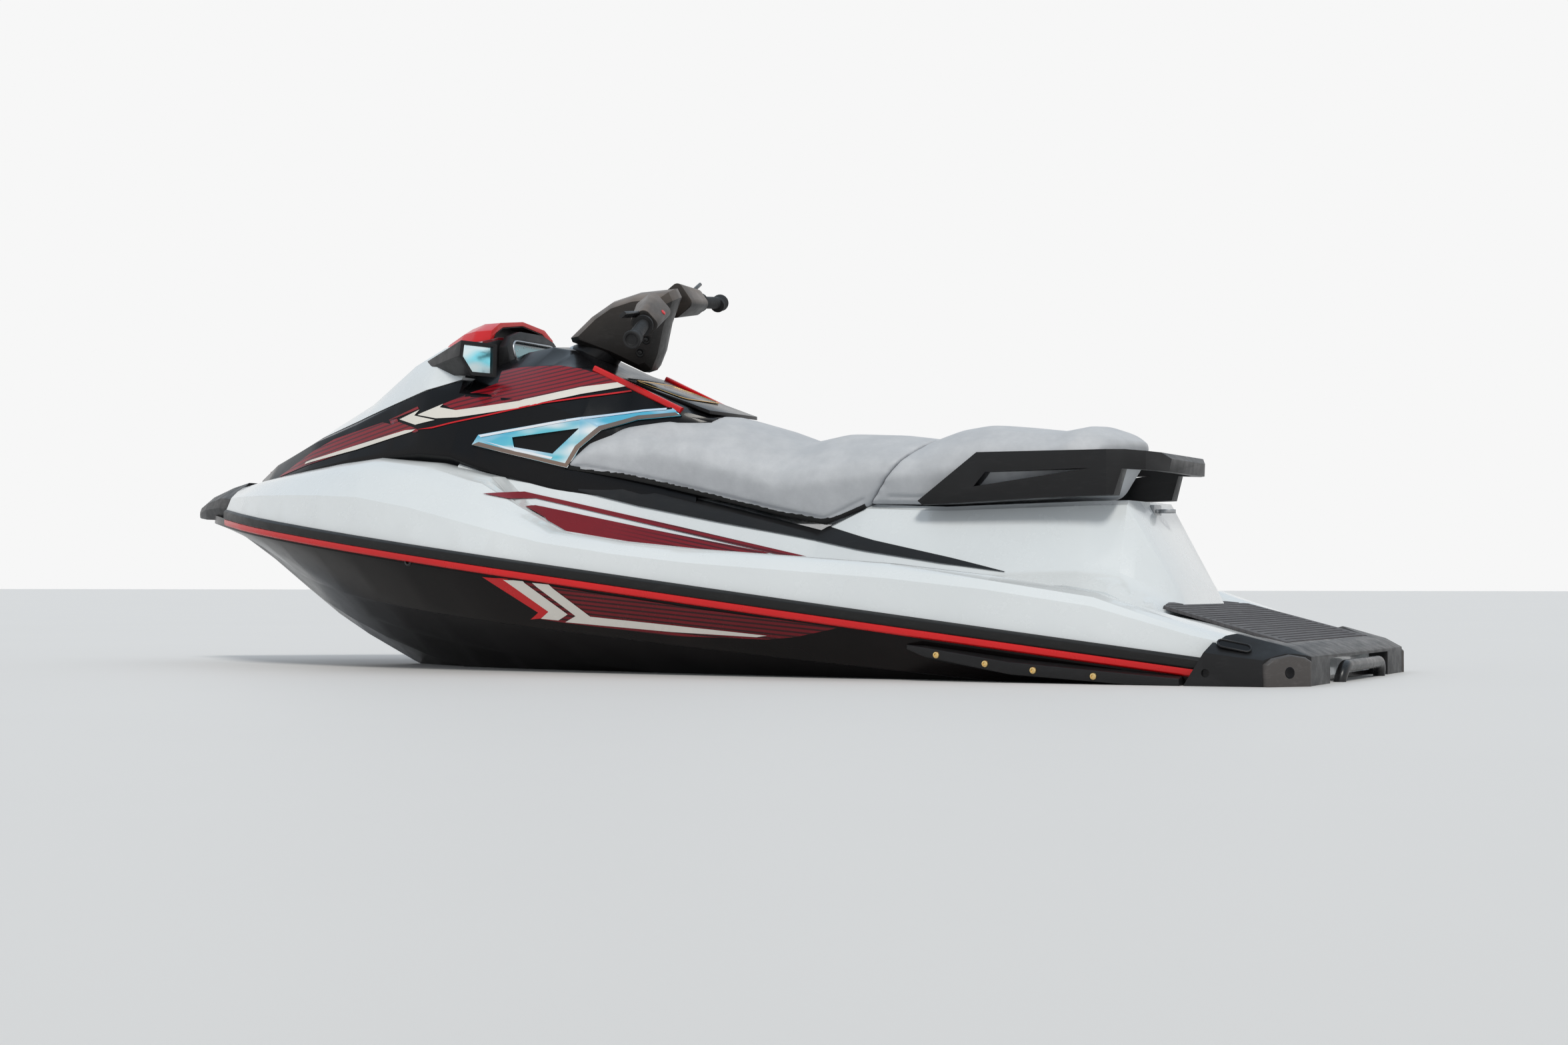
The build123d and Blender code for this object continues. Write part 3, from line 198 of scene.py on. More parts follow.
def painted(name, colour, deep, rough, coat, shine=0.5, metal=0.0, flake=0.0, streak=0.0, lines=None):
    """A glossy paint or gelcoat: a slow change of tone, a faint orange peel, a little flake, some wash marks.
    lines adds pinstripes: their colour, and what pinstripes() takes."""
    tree, bsdf, where = shader(name)
    base = mixed(tree, ranged(tree, noise(tree, where, 2.6, 5.0, 0.6), 0.38, 0.66), deep, colour)
    if streak:
        marks = noise(tree, stretched(tree, where, (2.0, 2.0, 0.5)), 9.0, 6.0, 0.7)
        base = mixed(tree, ranged(tree, marks, 0.58, 0.80, streak), base, toned(colour, 0.62))
    if flake:
        specks = noise(tree, where, 2600.0, 1.0)
        base = mixed(tree, ranged(tree, specks, 0.62, 0.70, flake), base, toned(colour, 2.2, 0.02))
    if lines:
        base = mixed(tree, pinstripes(tree, where, *lines[1:]), base, lines[0])
    uneven = ranged(tree, noise(tree, where, 14.0, 6.0, 0.65), 0.3, 0.8, 0.14, rough)
    tree.links.new(base, bsdf.inputs["Base Color"])
    tree.links.new(uneven, bsdf.inputs["Roughness"])
    bsdf.inputs["Metallic"].default_value = metal
    bsdf.inputs["Specular IOR Level"].default_value = shine
    bsdf.inputs["Coat Weight"].default_value = coat
    bsdf.inputs["Coat Roughness"].default_value = 0.04
    bump(tree, bsdf, noise(tree, where, 90.0, 2.0), 0.05, 0.0006)
    bump(tree, bsdf, noise(tree, where, 7.0, 2.0), 0.035, 0.003)


def plastic(name, colour, rough, grain, depth, wear=0.25, shine=0.32, ribs=None, dust_and_sunlight=None):
    """Moulded plastic or rubber: a fine grain, paler scuffs and uneven gloss. ribs adds ridges, by direction
    and pitch. dust_and_sunlight is the colour of the sides that face up: dust that has settled there, and
    painted sunlight."""
    tree, bsdf, where = shader(name)
    scuffs = noise(tree, stretched(tree, where, (1.0, 1.6, 4.0)), 22.0, 8.0, 0.72)
    base = mixed(tree, ranged(tree, scuffs, 0.52, 0.78, wear), colour, toned(colour, 1.9, 0.03))
    # sides that face up turn paler in patches: dust, and painted sunlight
    if dust_and_sunlight:
        facing = split(tree, tree.nodes.new("ShaderNodeTexCoord").outputs["Normal"])
        upward = ranged(tree, facing["Z"], -0.25, 0.95)
        patches = ranged(tree, noise(tree, where, 7.0, 5.0, 0.6), 0.2, 0.6)
        base = mixed(tree, figured(tree, "MULTIPLY", upward, patches), base, dust_and_sunlight)
    uneven = ranged(tree, noise(tree, where, 30.0, 6.0, 0.7), 0.3, 0.75, 0.22, rough - 0.08)
    tree.links.new(base, bsdf.inputs["Base Color"])
    tree.links.new(uneven, bsdf.inputs["Roughness"])
    bsdf.inputs["Specular IOR Level"].default_value = shine
    bump(tree, bsdf, cells(tree, where, grain), 0.35, depth)
    if ribs:
        direction, pitch = ribs
        along = tree.nodes.new("ShaderNodeVectorMath")
        along.operation = "DOT_PRODUCT"
        along.inputs[1].default_value = direction
        tree.links.new(where, along.inputs[0])
        wave = figured(tree, "SINE", figured(tree, "MULTIPLY", along.outputs["Value"], 2 * math.pi / pitch))
        bump(tree, bsdf, ranged(tree, wave, -0.6, 0.6), 0.8, 0.0016)


def metal(name, colour, rough, brushed=0.0, cast=0.0, painted_sky=None):
    """Bare metal: polished, brushed or cast. painted_sky is a painted reflection of the sky: a second colour
    that lies over it in long soft bands.
    """
    tree, bsdf, where = shader(name)
    base = mixed(tree, noise(tree, where, 8.0), toned(colour, 0.86), colour)
    # painted reflection of the sky, in long soft bands over the metal's own colour
    if painted_sky:
        bands = noise(tree, stretched(tree, where, (0.8, 1.0, 2.2)), 7.0, 2.0, 0.4)
        base = mixed(tree, ranged(tree, bands, 0.42, 0.56), base, painted_sky)
    uneven = ranged(tree, noise(tree, where, 26.0, 6.0, 0.7), 0.3, 0.8, rough * 0.9, rough * 0.7)
    tree.links.new(base, bsdf.inputs["Base Color"])
    tree.links.new(uneven, bsdf.inputs["Roughness"])
    bsdf.inputs["Metallic"].default_value = 1.0
    if brushed:
        bump(tree, bsdf, noise(tree, stretched(tree, where, (4.0, 300.0, 300.0)), 6.0, 3.0), brushed, 0.0003)
    if cast:
        bump(tree, bsdf, noise(tree, where, 420.0, 4.0, 0.7), cast, 0.0005)


def vinyl(name, colour, deep):
    """Seat vinyl: leather grain, soft creases, and the mottling of a seat that has been out in the sun."""
    tree, bsdf, where = shader(name)
    mottle = noise(tree, where, 16.0, 8.0, 0.66)
    slow = noise(tree, where, 3.1, 3.0)
    base = mixed(tree, ranged(tree, mottle, 0.36, 0.68), deep, colour)
    base = mixed(tree, ranged(tree, slow, 0.42, 0.70, 0.35), base, toned(deep, 0.84))
    tree.links.new(base, bsdf.inputs["Base Color"])
    tree.links.new(ranged(tree, mottle, 0.3, 0.75, 0.16, 0.46), bsdf.inputs["Roughness"])
    bsdf.inputs["Sheen Weight"].default_value = 0.12
    bsdf.inputs["Sheen Roughness"].default_value = 0.5
    bump(tree, bsdf, cells(tree, where, 520.0), 0.5, 0.0005)
    bump(tree, bsdf, noise(tree, where, 160.0, 4.0, 0.7), 0.18, 0.0008)
    bump(tree, bsdf, noise(tree, stretched(tree, where, (1.0, 1.0, 1.6)), 11.0, 4.0, 0.5), 0.16, 0.006)


def glass(name, colour):
    """A dark or coloured lens."""
    tree, bsdf, where = shader(name)
    base = mixed(tree, noise(tree, where, 9.0), toned(colour, 0.9), colour)
    uneven = ranged(tree, noise(tree, where, 40.0, 5.0), 0.4, 0.8, 0.06, 0.03)
    tree.links.new(base, bsdf.inputs["Base Color"])
    tree.links.new(uneven, bsdf.inputs["Roughness"])
    bsdf.inputs["Coat Weight"].default_value = 1.0
    bsdf.inputs["Coat Roughness"].default_value = 0.02


# Finishes of the CAD's slots, and of painted highlights, painted dark reflections, dust with painted
# sunlight, and wear.
# The numbers after the colours are the roughness, then a paint's coat, or a plastic's grain and the depth of
# that grain.
painted("hull_black", (0.010, 0.008, 0.008), (0.006, 0.005, 0.005), 0.14, 0.06, shine=0.10, flake=0.2,
        streak=0.25)
painted("deck_white", (0.78, 0.82, 0.84), (0.75, 0.79, 0.81), 0.20, 0.5, streak=0.05)
painted("cowl_black", (0.008, 0.008, 0.009), (0.005, 0.005, 0.006), 0.18, 0.08, shine=0.12, flake=0.2)
painted("hood_maroon", (0.20, 0.006, 0.012), (0.13, 0.004, 0.008), 0.24, 0.5, shine=0.3, metal=0.3, flake=0.5)
painted("accent_red", (0.70, 0.008, 0.010), (0.60, 0.006, 0.008), 0.24, 0.25, shine=0.3)
plastic("rail_black", (0.012, 0.012, 0.012), 0.36, 700.0, 0.0002, shine=0.22)
plastic("bumper_black", (0.013, 0.013, 0.014), 0.36, 800.0, 0.0003, wear=0.16, shine=0.24)
# the chrome's blue bands are a painted reflection of the sky
metal("trim_chrome", (0.84, 0.90, 0.92), 0.06, painted_sky=(0.16, 0.56, 0.68))
# a painted highlight and a painted dark reflection, laid along the edges of the bright trims
metal("chrome_glint", (0.94, 0.95, 0.96), 0.10)
metal("chrome_shade", (0.26, 0.19, 0.155), 0.14)
glass("gauge_lens", (0.05, 0.10, 0.14))
# the mirror's blue-green tint and its blue bands are a painted reflection of the sky
metal("mirror_glass", (0.80, 0.94, 0.96), 0.16, painted_sky=(0.26, 0.74, 0.86))
plastic("bar_metal", (0.018, 0.018, 0.019), 0.30, 1200.0, 0.0001, shine=0.35)
plastic("grip_rubber", (0.016, 0.016, 0.017), 0.60, 420.0, 0.0006, ribs=(GRIP_LINE, 0.006))
vinyl("seat_vinyl", (0.60, 0.62, 0.65), (0.50, 0.52, 0.55))
# black of the steering cover and switch pods, paler on top from dust and from painted sunlight
plastic("dusty_sunlit_black", (0.020, 0.018, 0.017), 0.40, 800.0, 0.0003, wear=0.3, shine=0.3,
        dust_and_sunlight=(0.24, 0.195, 0.165))
plastic("worn_black", (0.070, 0.064, 0.062), 0.40, 700.0, 0.0004, wear=0.55)
plastic("mat_rubber", (0.082, 0.078, 0.082), 0.62, 320.0, 0.0008, wear=0.40, ribs=((1.0, 0.0, 0.0), 0.016))
metal("pump_metal", (0.42, 0.43, 0.44), 0.42, cast=0.3)
metal("impeller_steel", (0.62, 0.62, 0.62), 0.22, brushed=0.2)
metal("engine_metal", (0.20, 0.20, 0.21), 0.5, cast=0.4)
plastic("step_black", (0.014, 0.014, 0.015), 0.28, 1500.0, 0.0001)
plastic("drain_plastic", (0.02, 0.02, 0.02), 0.45, 900.0, 0.0003)

# Finishes of fittings
metal("brass", (0.78, 0.56, 0.24), 0.28)
metal("bolt_steel", (0.70, 0.71, 0.72), 0.22)
metal("collar_grey", (0.50, 0.51, 0.52), 0.30)
metal("gold_line", (0.90, 0.55, 0.20), 0.25)
glass("screen_blue", (0.20, 0.52, 0.60))
plastic("tick_white", (0.75, 0.78, 0.78), 0.5, 900.0, 0.0001)

# Finishes of decals
painted("decal_red", (0.66, 0.008, 0.012), (0.56, 0.006, 0.010), 0.20, 0.2, shine=0.3)
painted("decal_cream", (0.80, 0.77, 0.71), (0.75, 0.72, 0.66), 0.20, 0.3, shine=0.3)
painted("hull_maroon", (0.20, 0.006, 0.013), (0.15, 0.004, 0.010), 0.20, 0.15, shine=0.2,
        lines=((0.035, 0.003, 0.005), 0.088, 0.0105, 0.42))
painted("deck_maroon", (0.24, 0.006, 0.014), (0.18, 0.005, 0.011), 0.20, 0.2, shine=0.25,
        lines=((0.07, 0.004, 0.008), 0.205, 0.0095, 0.36, 0.20, -0.05))
painted("cowl_maroon", (0.30, 0.008, 0.016), (0.22, 0.006, 0.012), 0.20, 0.25, shine=0.25,
        lines=((0.075, 0.005, 0.009), -0.24, 0.0120, 0.36))


# CAD pieces

DUSTY_AND_SUNLIT = {"steering_cover", "switch_pods"}    # nodes whose black is paler on the sides that face up: dust, and painted sunlight
WELD = 0.00002
FLAT_ANGLE = math.radians(0.6)               # facets that turn by less are joined
SMOOTH_ANGLE = math.radians(34)              # edges over this one stay sharp
EDGE_STEPS = 3

# Rounding of the edges: node, radius in metres, least angle in degrees
ROUNDED = {
    "hull": (0.004, 12), "deck": (0.008, 24), "cowl": (0.006, 24), "rub_rail": (0.003, 30),
    "rail_stripe": (0.002, 30), "nose_bumper": (0.008, 22), "side_bands": (0.0015, 40),
    "side_trims": (0.002, 35), "edge_bars": (0.002, 35), "gauge_housing": (0.004, 30),
    "gauge_face": (0.001, 30), "visor": (0.006, 24), "hood_spine": (0.006, 24), "hood_wings": (0.007, 24),
    "mirror_housings": (0.005, 28), "mirror_glasses": (0.001, 30), "glovebox_lid": (0.003, 30),
    "column_base": (0.003, 30), "steering_cover": (0.008, 22), "grab_handle": (0.007, 26),
    "sponsons": (0.004, 26), "deck_mat": (0.001, 30), "footwell_mats": (0.002, 30),
    "stern_bumpers": (0.007, 26), "levers": (0.002, 30), "switch_pods": (0.004, 28),
    "ride_plate": (0.002, 30), "tow_eye": (0.002, 30), "reverse_bucket": (0.002, 30),
}


def smoothing():
    """A node group that shades smooth and marks the edges over an angle as sharp."""
    tree = bpy.data.node_groups.new("smoothing", "GeometryNodeTree")
    tree.interface.new_socket("Geometry", in_out="INPUT", socket_type="NodeSocketGeometry")
    tree.interface.new_socket("Geometry", in_out="OUTPUT", socket_type="NodeSocketGeometry")
    start, end = tree.nodes.new("NodeGroupInput"), tree.nodes.new("NodeGroupOutput")
    faces = tree.nodes.new("GeometryNodeSetShadeSmooth")
    faces.domain = "FACE"
    edges = tree.nodes.new("GeometryNodeSetShadeSmooth")
    edges.domain = "EDGE"
    measured = tree.nodes.new("GeometryNodeInputMeshEdgeAngle")
    compare = tree.nodes.new("FunctionNodeCompare")
    compare.operation = "LESS_EQUAL"
    compare.inputs[1].default_value = SMOOTH_ANGLE
    tree.links.new(start.outputs[0], faces.inputs["Geometry"])
    tree.links.new(faces.outputs[0], edges.inputs["Geometry"])
    tree.links.new(measured.outputs["Unsigned Angle"], compare.inputs[0])
    tree.links.new(compare.outputs[0], edges.inputs["Shade Smooth"])
    tree.links.new(edges.outputs[0], end.inputs[0])
    return tree


SMOOTHING = smoothing()


def shade_smooth(mesh):
    """Smooth shading on all faces of a mesh."""
    mesh.polygons.foreach_set("use_smooth", [True] * len(mesh.polygons))


def smooth(piece):
    """Smooth shading that leaves a piece's edges sharp."""
    shade_smooth(piece.data)
    piece.modifiers.new("smooth", "NODES").node_group = SMOOTHING


def rounded(piece, radius, steps):
    """Rounds the edges of a piece, and returns the modifier."""
    edge = piece.modifiers.new("edge", "BEVEL")
    edge.width = radius
    edge.segments = steps
    edge.limit_method = "ANGLE"
    return edge


def unmarked(mesh):
    """Takes off the normals and sharp marks that a CAD mesh comes with."""
    for name in ("custom_normal", "sharp_edge", "sharp_face"):
        if name in mesh.attributes:
            mesh.attributes.remove(mesh.attributes[name])


def dress(node):
    """Gives a CAD node its finish, rounded edges and smooth shading."""
    piece = NODES[node]
    piece.data.materials.clear()
    # the steering cover and switch pods get the black with dust and painted sunlight on top
    piece.data.materials.append(FINISH["dusty_sunlit_black" if node in DUSTY_AND_SUNLIT else SLOT_OF[node]])
    unmarked(piece.data)
    piece.modifiers.new("weld", "WELD").merge_threshold = WELD
    flat = piece.modifiers.new("flat", "DECIMATE")
    flat.decimate_type = "DISSOLVE"
    flat.angle_limit = FLAT_ANGLE
    if node in ROUNDED:
        radius, angle = ROUNDED[node]
        rounded(piece, radius, EDGE_STEPS).angle_limit = math.radians(angle)
    smooth(piece)


for node in NODES:
    dress(node)


# Seats: each is a soft form taken from its CAD solid, with its facets melted away and its seams pressed in

SEAT_VOXEL = 0.006
SEAT_MELT = 26               # passes of smoothing
SEAM_DEPTH = 0.0035
SEAM_HALF = 0.0045
SEAM_FACING = 0.35           # least sideways share of a normal, for a seam to be pressed in there

# Side views (x, z) of the sewn lines, in millimetres: along the front seat's foot, and along the rear seat
SEAMS = [
    [(298, 516), (240, 514), (150, 498), (50, 477), (-60, 451), (-174, 424), (-284, 398), (-393, 376),
     (-500, 424)],
    [(-560, 428), (-700, 424), (-860, 431), (-1040, 438), (-1150, 452)],
]

# The rear seat's aft end
TAIL_FROM = -0.970
TAIL_HALF = 0.246            # half-breadth
TAIL_TOP = 0.56              # height over which it isn't drawn in
TAIL_DEEP = 0.14             # depth over which it is drawn in more and more
TAIL_TUCK = 0.62             # share of its length by which the underside is drawn in


def read(mesh, what):
    """The places (co) or the normals of a mesh's vertices, a row each."""
    values = numpy.empty(3 * len(mesh.vertices))
    mesh.vertices.foreach_get(what, values)
    return values.reshape(-1, 3)


def written(mesh, places):
    """Moves a mesh's vertices to places."""
    mesh.vertices.foreach_set("co", places.ravel())
    mesh.update()


def pressed(mesh, lines, depth, half):
    """Presses grooves along side-view lines into the sides of a mesh."""
    places, normals = read(mesh, "co"), read(mesh, "normal")
    for line in lines:
        xs, zs = numpy.array(sorted(line)).T / 1000
        off = (places[:, 2] - numpy.interp(places[:, 0], xs, zs)) / half
        inside = (places[:, 0] >= xs[0]) & (places[:, 0] <= xs[-1]) & (abs(normals[:, 1]) > SEAM_FACING)
        places -= normals * (depth * inside * numpy.exp(-off * off))[:, None]
    written(mesh, places)


def tucked(mesh):
    """Rounds the aft end of the rear seat in plan, and draws it in towards the underside."""
    places = read(mesh, "co")
    past = TAIL_FROM - places[:, 0]
    bow = numpy.sqrt(numpy.clip(1 - (places[:, 1] / TAIL_HALF) ** 2, 0.0, 1.0))
    under = numpy.clip((TAIL_TOP - places[:, 2]) / TAIL_DEEP, 0.0, 1.0)
    places[:, 0] = numpy.where(past > 0, TAIL_FROM - past * bow * (1 - TAIL_TUCK * under), places[:, 0])
    written(mesh, places)


def seat(node):
    """The soft form that stands for a seat's CAD solid."""
    mesh = NODES[node].data.copy()
    mesh.transform(NODES[node].matrix_world)
    unmarked(mesh)
    piece = bpy.data.objects.new(node + "_cover", mesh)
    bpy.context.scene.collection.objects.link(piece)
    remesh = piece.modifiers.new("remesh", "REMESH")
    remesh.mode = "VOXEL"
    remesh.voxel_size = SEAT_VOXEL
    melt = piece.modifiers.new("melt", "SMOOTH")
    melt.factor = 0.5
    melt.iterations = SEAT_MELT
    bpy.context.view_layer.update()
    soft = bpy.data.meshes.new_from_object(piece.evaluated_get(bpy.context.evaluated_depsgraph_get()))
    piece.modifiers.clear()
    piece.data = soft
    pressed(soft, SEAMS, SEAM_DEPTH, SEAM_HALF)
    if node == "seat_rear":
        tucked(soft)
    shade_smooth(soft)
    soft.materials.clear()
    soft.materials.append(FINISH["seat_vinyl"])
    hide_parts(node)
    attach(piece, "craft")


seat("seat_front")
seat("seat_rear")


def shown(name, mesh, body):
    """A new piece of a mesh, riding on a body."""
    piece = bpy.data.objects.new(name, mesh)
    bpy.context.scene.collection.objects.link(piece)
    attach(piece, body)
    return piece


# Decals: outlines in side view, in millimetres, laid on both sides of the pieces that they name

LIFT = 0.0012                # height of a decal over the surface that it lies on
OVER = 2 * LIFT              # height of one that lies on another
CELL = 0.016                 # spacing of a decal's mesh
FOLD_LIFT = 2.4 * LIFT       # height and spacing where the surface has a fold
FOLD_CELL = CELL / 2
TORN = 4 * CELL              # a face with a longer edge spans a gap in the surface, and is left out
EVEN = 0.09                  # distance over which shading is evened, so that the surface's facets don't show
HULL_FROM = 0.9              # half-breadth from which decals are pressed inwards on to the hull
COWL_FROM = 0.6              # the same for the cowl and its trims
THROWN_FROM = 0.45           # half-breadth at which the outlines of thrown decals are drawn
GUNWALE = (0.25, 0.42)       # aft of this x, thrown decals stay inside this half-breadth
PAST = 0.0005                # step past a surface that a thrown decal doesn't stay on
GRAZING = 0.05               # least cosine between a ray and the normal where it lands
INSIDE = 1                   # what delaunay_2d_cdt gives back: the triangles inside the outline
NEAR = 1e-4                  # millimetres under which two points of an outline are one


def surface(node):
    """The search tree of a CAD node's faces as they are shown, in the row frame."""
    bpy.context.view_layer.update()
    piece = NODES[node].evaluated_get(bpy.context.evaluated_depsgraph_get())
    mesh = piece.to_mesh()
    points = [piece.matrix_world @ vertex.co for vertex in mesh.vertices]
    tree = BVHTree.FromPolygons(points, [list(polygon.vertices) for polygon in mesh.polygons])
    piece.to_mesh_clear()
    return tree


def celled(shapes, cell):
    """Outlines in side view, filled with triangles and cut into small cells."""
    flat = bmesh.new()
    for outline in shapes:
        points = [Vector(place) for place in outline]
        places, _, faces, *_ = delaunay_2d_cdt(points, [], [range(len(points))], INSIDE, NEAR)
        corners = [flat.verts.new((x / 1000, 0.0, z / 1000)) for x, z in places]
        for face in faces:
            flat.faces.new([corners[index] for index in face])
    for axis in (0, 2):
        low = min(vertex.co[axis] for vertex in flat.verts)
        high = max(vertex.co[axis] for vertex in flat.verts)
        for step in range(1, int((high - low) / cell) + 1):
            at, normal = Vector((0, 0, 0)), Vector((0, 0, 0))
            at[axis] = low + step * cell
            normal[axis] = 1.0
            everything = flat.verts[:] + flat.edges[:] + flat.faces[:]
            bmesh.ops.bisect_plane(flat, geom=everything, plane_co=at, plane_no=normal)
    return flat


def landed(tree, place, side, start):
    """Where a point of an outline lands on a surface and the normal there, or None."""
    if start is None:
        eye = Vector((CAMERA_AT[0], side * CAMERA_AT[1], CAMERA_AT[2]))
        ray = (Vector((place.x, side * THROWN_FROM, place.z)) - eye).normalized()
    else:
        eye, ray = Vector((place.x, side * start, place.z)), Vector((0, -side, 0))
    found, normal, _, _ = tree.ray_cast(eye, ray)
    while start is None and found and found.x < GUNWALE[0] and abs(found.y) > GUNWALE[1]:
        found, normal, _, _ = tree.ray_cast(found + ray * PAST, ray)
    if found is None or normal.dot(ray) > -GRAZING:
        return None
    return found, normal


def evened(mesh, upright):
    """A normal for each vertex: the surface's own, evened over those near it."""
    places = numpy.array([vertex.co for vertex in mesh.verts])
    facing = numpy.array([upright[vertex] for vertex in mesh.verts])
    near = numpy.exp(-((places[:, None] - places[None]) ** 2).sum(axis=2) / EVEN ** 2)
    return [Vector(normal).normalized() for normal in near @ facing]


def laid(name, node, finish, start, shapes, lift=LIFT, cell=CELL):
    """Flat outlines cut into cells and laid on a surface, one mesh a side, a lift off it. start is the
    half-breadth from which they are pressed inwards. With None they are thrown from the camera, past the
    gunwale."""
    tree = surface(node)
    flat = celled(shapes, cell)
    for side in (1, -1):
        mesh = flat.copy()
        lost, upright = [], {}
        for vertex in mesh.verts:
            landing = landed(tree, vertex.co, side, start)
            if landing:
                found, normal = landing
                vertex.co = found + normal * lift
                upright[vertex] = normal
            else:
                lost.append(vertex)
        bmesh.ops.delete(mesh, geom=lost, context="VERTS")
        torn = [face for face in mesh.faces if max(edge.calc_length() for edge in face.edges) > TORN]
        bmesh.ops.delete(mesh, geom=torn, context="FACES")
        for face in mesh.faces:
            face.normal_update()
            if face.normal.dot(sum((upright[vertex] for vertex in face.verts), Vector())) < 0:
                face.normal_flip()
        normals = evened(mesh, upright)
        data = bpy.data.meshes.new(name)
        mesh.to_mesh(data)
        mesh.free()
        shade_smooth(data)
        data.normals_split_custom_set_from_vertices(normals)
        data.materials.append(FINISH[finish])
        shown(f"{name}_{'port' if side > 0 else 'starboard'}", data, "craft")


# On the hull
laid("hull_flash", "hull", "hull_maroon", HULL_FROM, [
    [(294, 231), (151, 211), (-246, 159), (-588, 119), (-472, 97), (-393, 90), (-135, 96), (160, 124),
     (233, 133), (202, 152)],
])
laid("hull_arm", "hull", "decal_red", HULL_FROM, [
    [(369, 236), (294, 231), (202, 151), (233, 135), (266, 132), (235, 149)],
])
laid("hull_arrows", "hull", "decal_cream", HULL_FROM, [
    [(306, 230), (248, 225), (147, 146), (181, 131), (232, 135), (202, 152)],
    [(222, 221), (175, 217), (82, 141), (-145, 122), (-396, 100), (-367, 96), (-139, 106), (162, 127),
     (125, 142)],
], OVER)

# Painted reflections on the bright trims: a painted dark reflection along their lower and aft edges, and thin
# painted highlights along their top edges
laid("trim_shade", "side_trims", "chrome_shade", COWL_FROM, [
    [(540, 574), (291, 513), (263, 562), (211, 607), (128, 635), (24, 644), (36, 652), (130, 645), (217, 618),
     (273, 568), (296, 524), (430, 557), (524, 581)],
])
laid("trim_glint", "side_trims", "chrome_glint", COWL_FROM, [
    [(527, 599), (300, 636), (120, 660), (60, 664), (60, 659), (120, 655), (300, 630), (520, 593)],
    [(510, 583), (424, 561), (328, 540), (332, 535), (428, 556)],
])

# On the deck's side, across its folds
laid("deck_stripe", "deck", "deck_maroon", None, [
    [(449, 443), (326, 447), (288, 439), (-103, 357), (-446, 282), (-377, 286), (-67, 353), (294, 430),
     (372, 429)],
], FOLD_LIFT, FOLD_CELL)
laid("deck_wedge", "deck", "deck_maroon", None, [
    [(326, 410), (294, 413), (-31, 350), (-349, 291), (-280, 280), (-67, 296), (153, 322)],
], FOLD_LIFT, FOLD_CELL)

# On the cowl
laid("cowl_panel", "cowl", "cowl_maroon", COWL_FROM, [
    [(523, 738), (541, 773), (509, 781), (444, 783), (370, 782), (309, 772), (262, 759), (201, 733),
     (293, 721), (432, 686), (600, 665), (644, 682), (586, 703), (546, 724)],
])
laid("cowl_arrow", "cowl", "decal_cream", COWL_FROM, [
    [(203, 733), (293, 721), (432, 686), (600, 665), (650, 674), (640, 683), (716, 656), (656, 645),
     (594, 646), (408, 671), (286, 702), (179, 722)],
    [(712, 670), (781, 647), (719, 630), (659, 641), (728, 655)],
], OVER)
laid("cowl_tip", "cowl", "cowl_maroon", COWL_FROM, [
    [(822, 648), (808, 632), (716, 609), (704, 613), (716, 621), (785, 641), (792, 650)],
    [(822, 648), (792, 652), (716, 673), (722, 679)],
])
laid("cowl_line", "cowl", "decal_red", COWL_FROM, [
    [(712, 617), (663, 623), (408, 674), (284, 695), (163, 712), (160, 708), (282, 691), (408, 670),
     (663, 619)],
], OVER)
laid("bow_band", "cowl", "cowl_maroon", COWL_FROM, [
    [(845, 642), (716, 618), (967, 565), (1088, 541), (1252, 509), (1154, 555), (1029, 604)],
])
laid("bow_line", "cowl", "decal_cream", COWL_FROM, [
    [(716, 618), (729, 612), (927, 570), (1127, 539), (1124, 545), (951, 578), (753, 617)],
], OVER)


# Pieces that the CAD leaves out: each is one mesh of closed forms, and a form is its points and its faces

def skin(sections, loop=False):
    """A form through sections with equal numbers of points: capped at its ends, or joined into a loop."""
    count, total = len(sections[0]), len(sections)
    faces = []
    for row in range(total if loop else total - 1):
        low, high = row * count, (row + 1) % total * count
        faces += [(low + k, low + (k + 1) % count, high + (k + 1) % count, high + k) for k in range(count)]
    if not loop:
        faces += [tuple(range(count)), tuple(range((total - 1) * count, total * count))]
    return [Vector(point) for section in sections for point in section], faces


def turned(at, axis, profile, sides=20):
    """A form turned about an axis, from a profile of (radius, height)."""
    axis = Vector(axis).normalized()
    across = axis.orthogonal().normalized()
    up = axis.cross(across)
    angles = [2 * math.pi * k / sides for k in range(sides)]
    spokes = [across * math.cos(a) + up * math.sin(a) for a in angles]
    return skin([[Vector(at) + axis * height + spoke * radius for spoke in spokes]
                 for radius, height in profile])


def cord(points, radius, away, sides=8, loop=False):
    """A round bar along points; away is a direction that it never runs in."""
    points = [Vector(point) for point in points]
    angles = [2 * math.pi * k / sides for k in range(sides)]
    sections = []
    for k, point in enumerate(points):
        before = points[k - 1] if k or loop else point
        after = points[(k + 1) % len(points)] if k + 1 < len(points) or loop else point
        out = (after - before).normalized().cross(Vector(away)).normalized()
        up = out.cross(after - before).normalized()
        sections.append([point + (out * math.cos(a) + up * math.sin(a)) * radius for a in angles])
    return skin(sections, loop)


def plate(outline, along):
    """A flat form: an outline of points, pushed along a vector."""
    return skin([outline, [Vector(point) + Vector(along) for point in outline]])


def mirrored(form):
    """The form and its copy on the other side."""
    points, faces = form
    return [form, ([Vector((p.x, -p.y, p.z)) for p in points], faces)]


def whole(half):
    """The outline (y, z) of which half is given, up to the point on the centreline."""
    return half + [(-y, z) for y, z in reversed(half[:-1])]


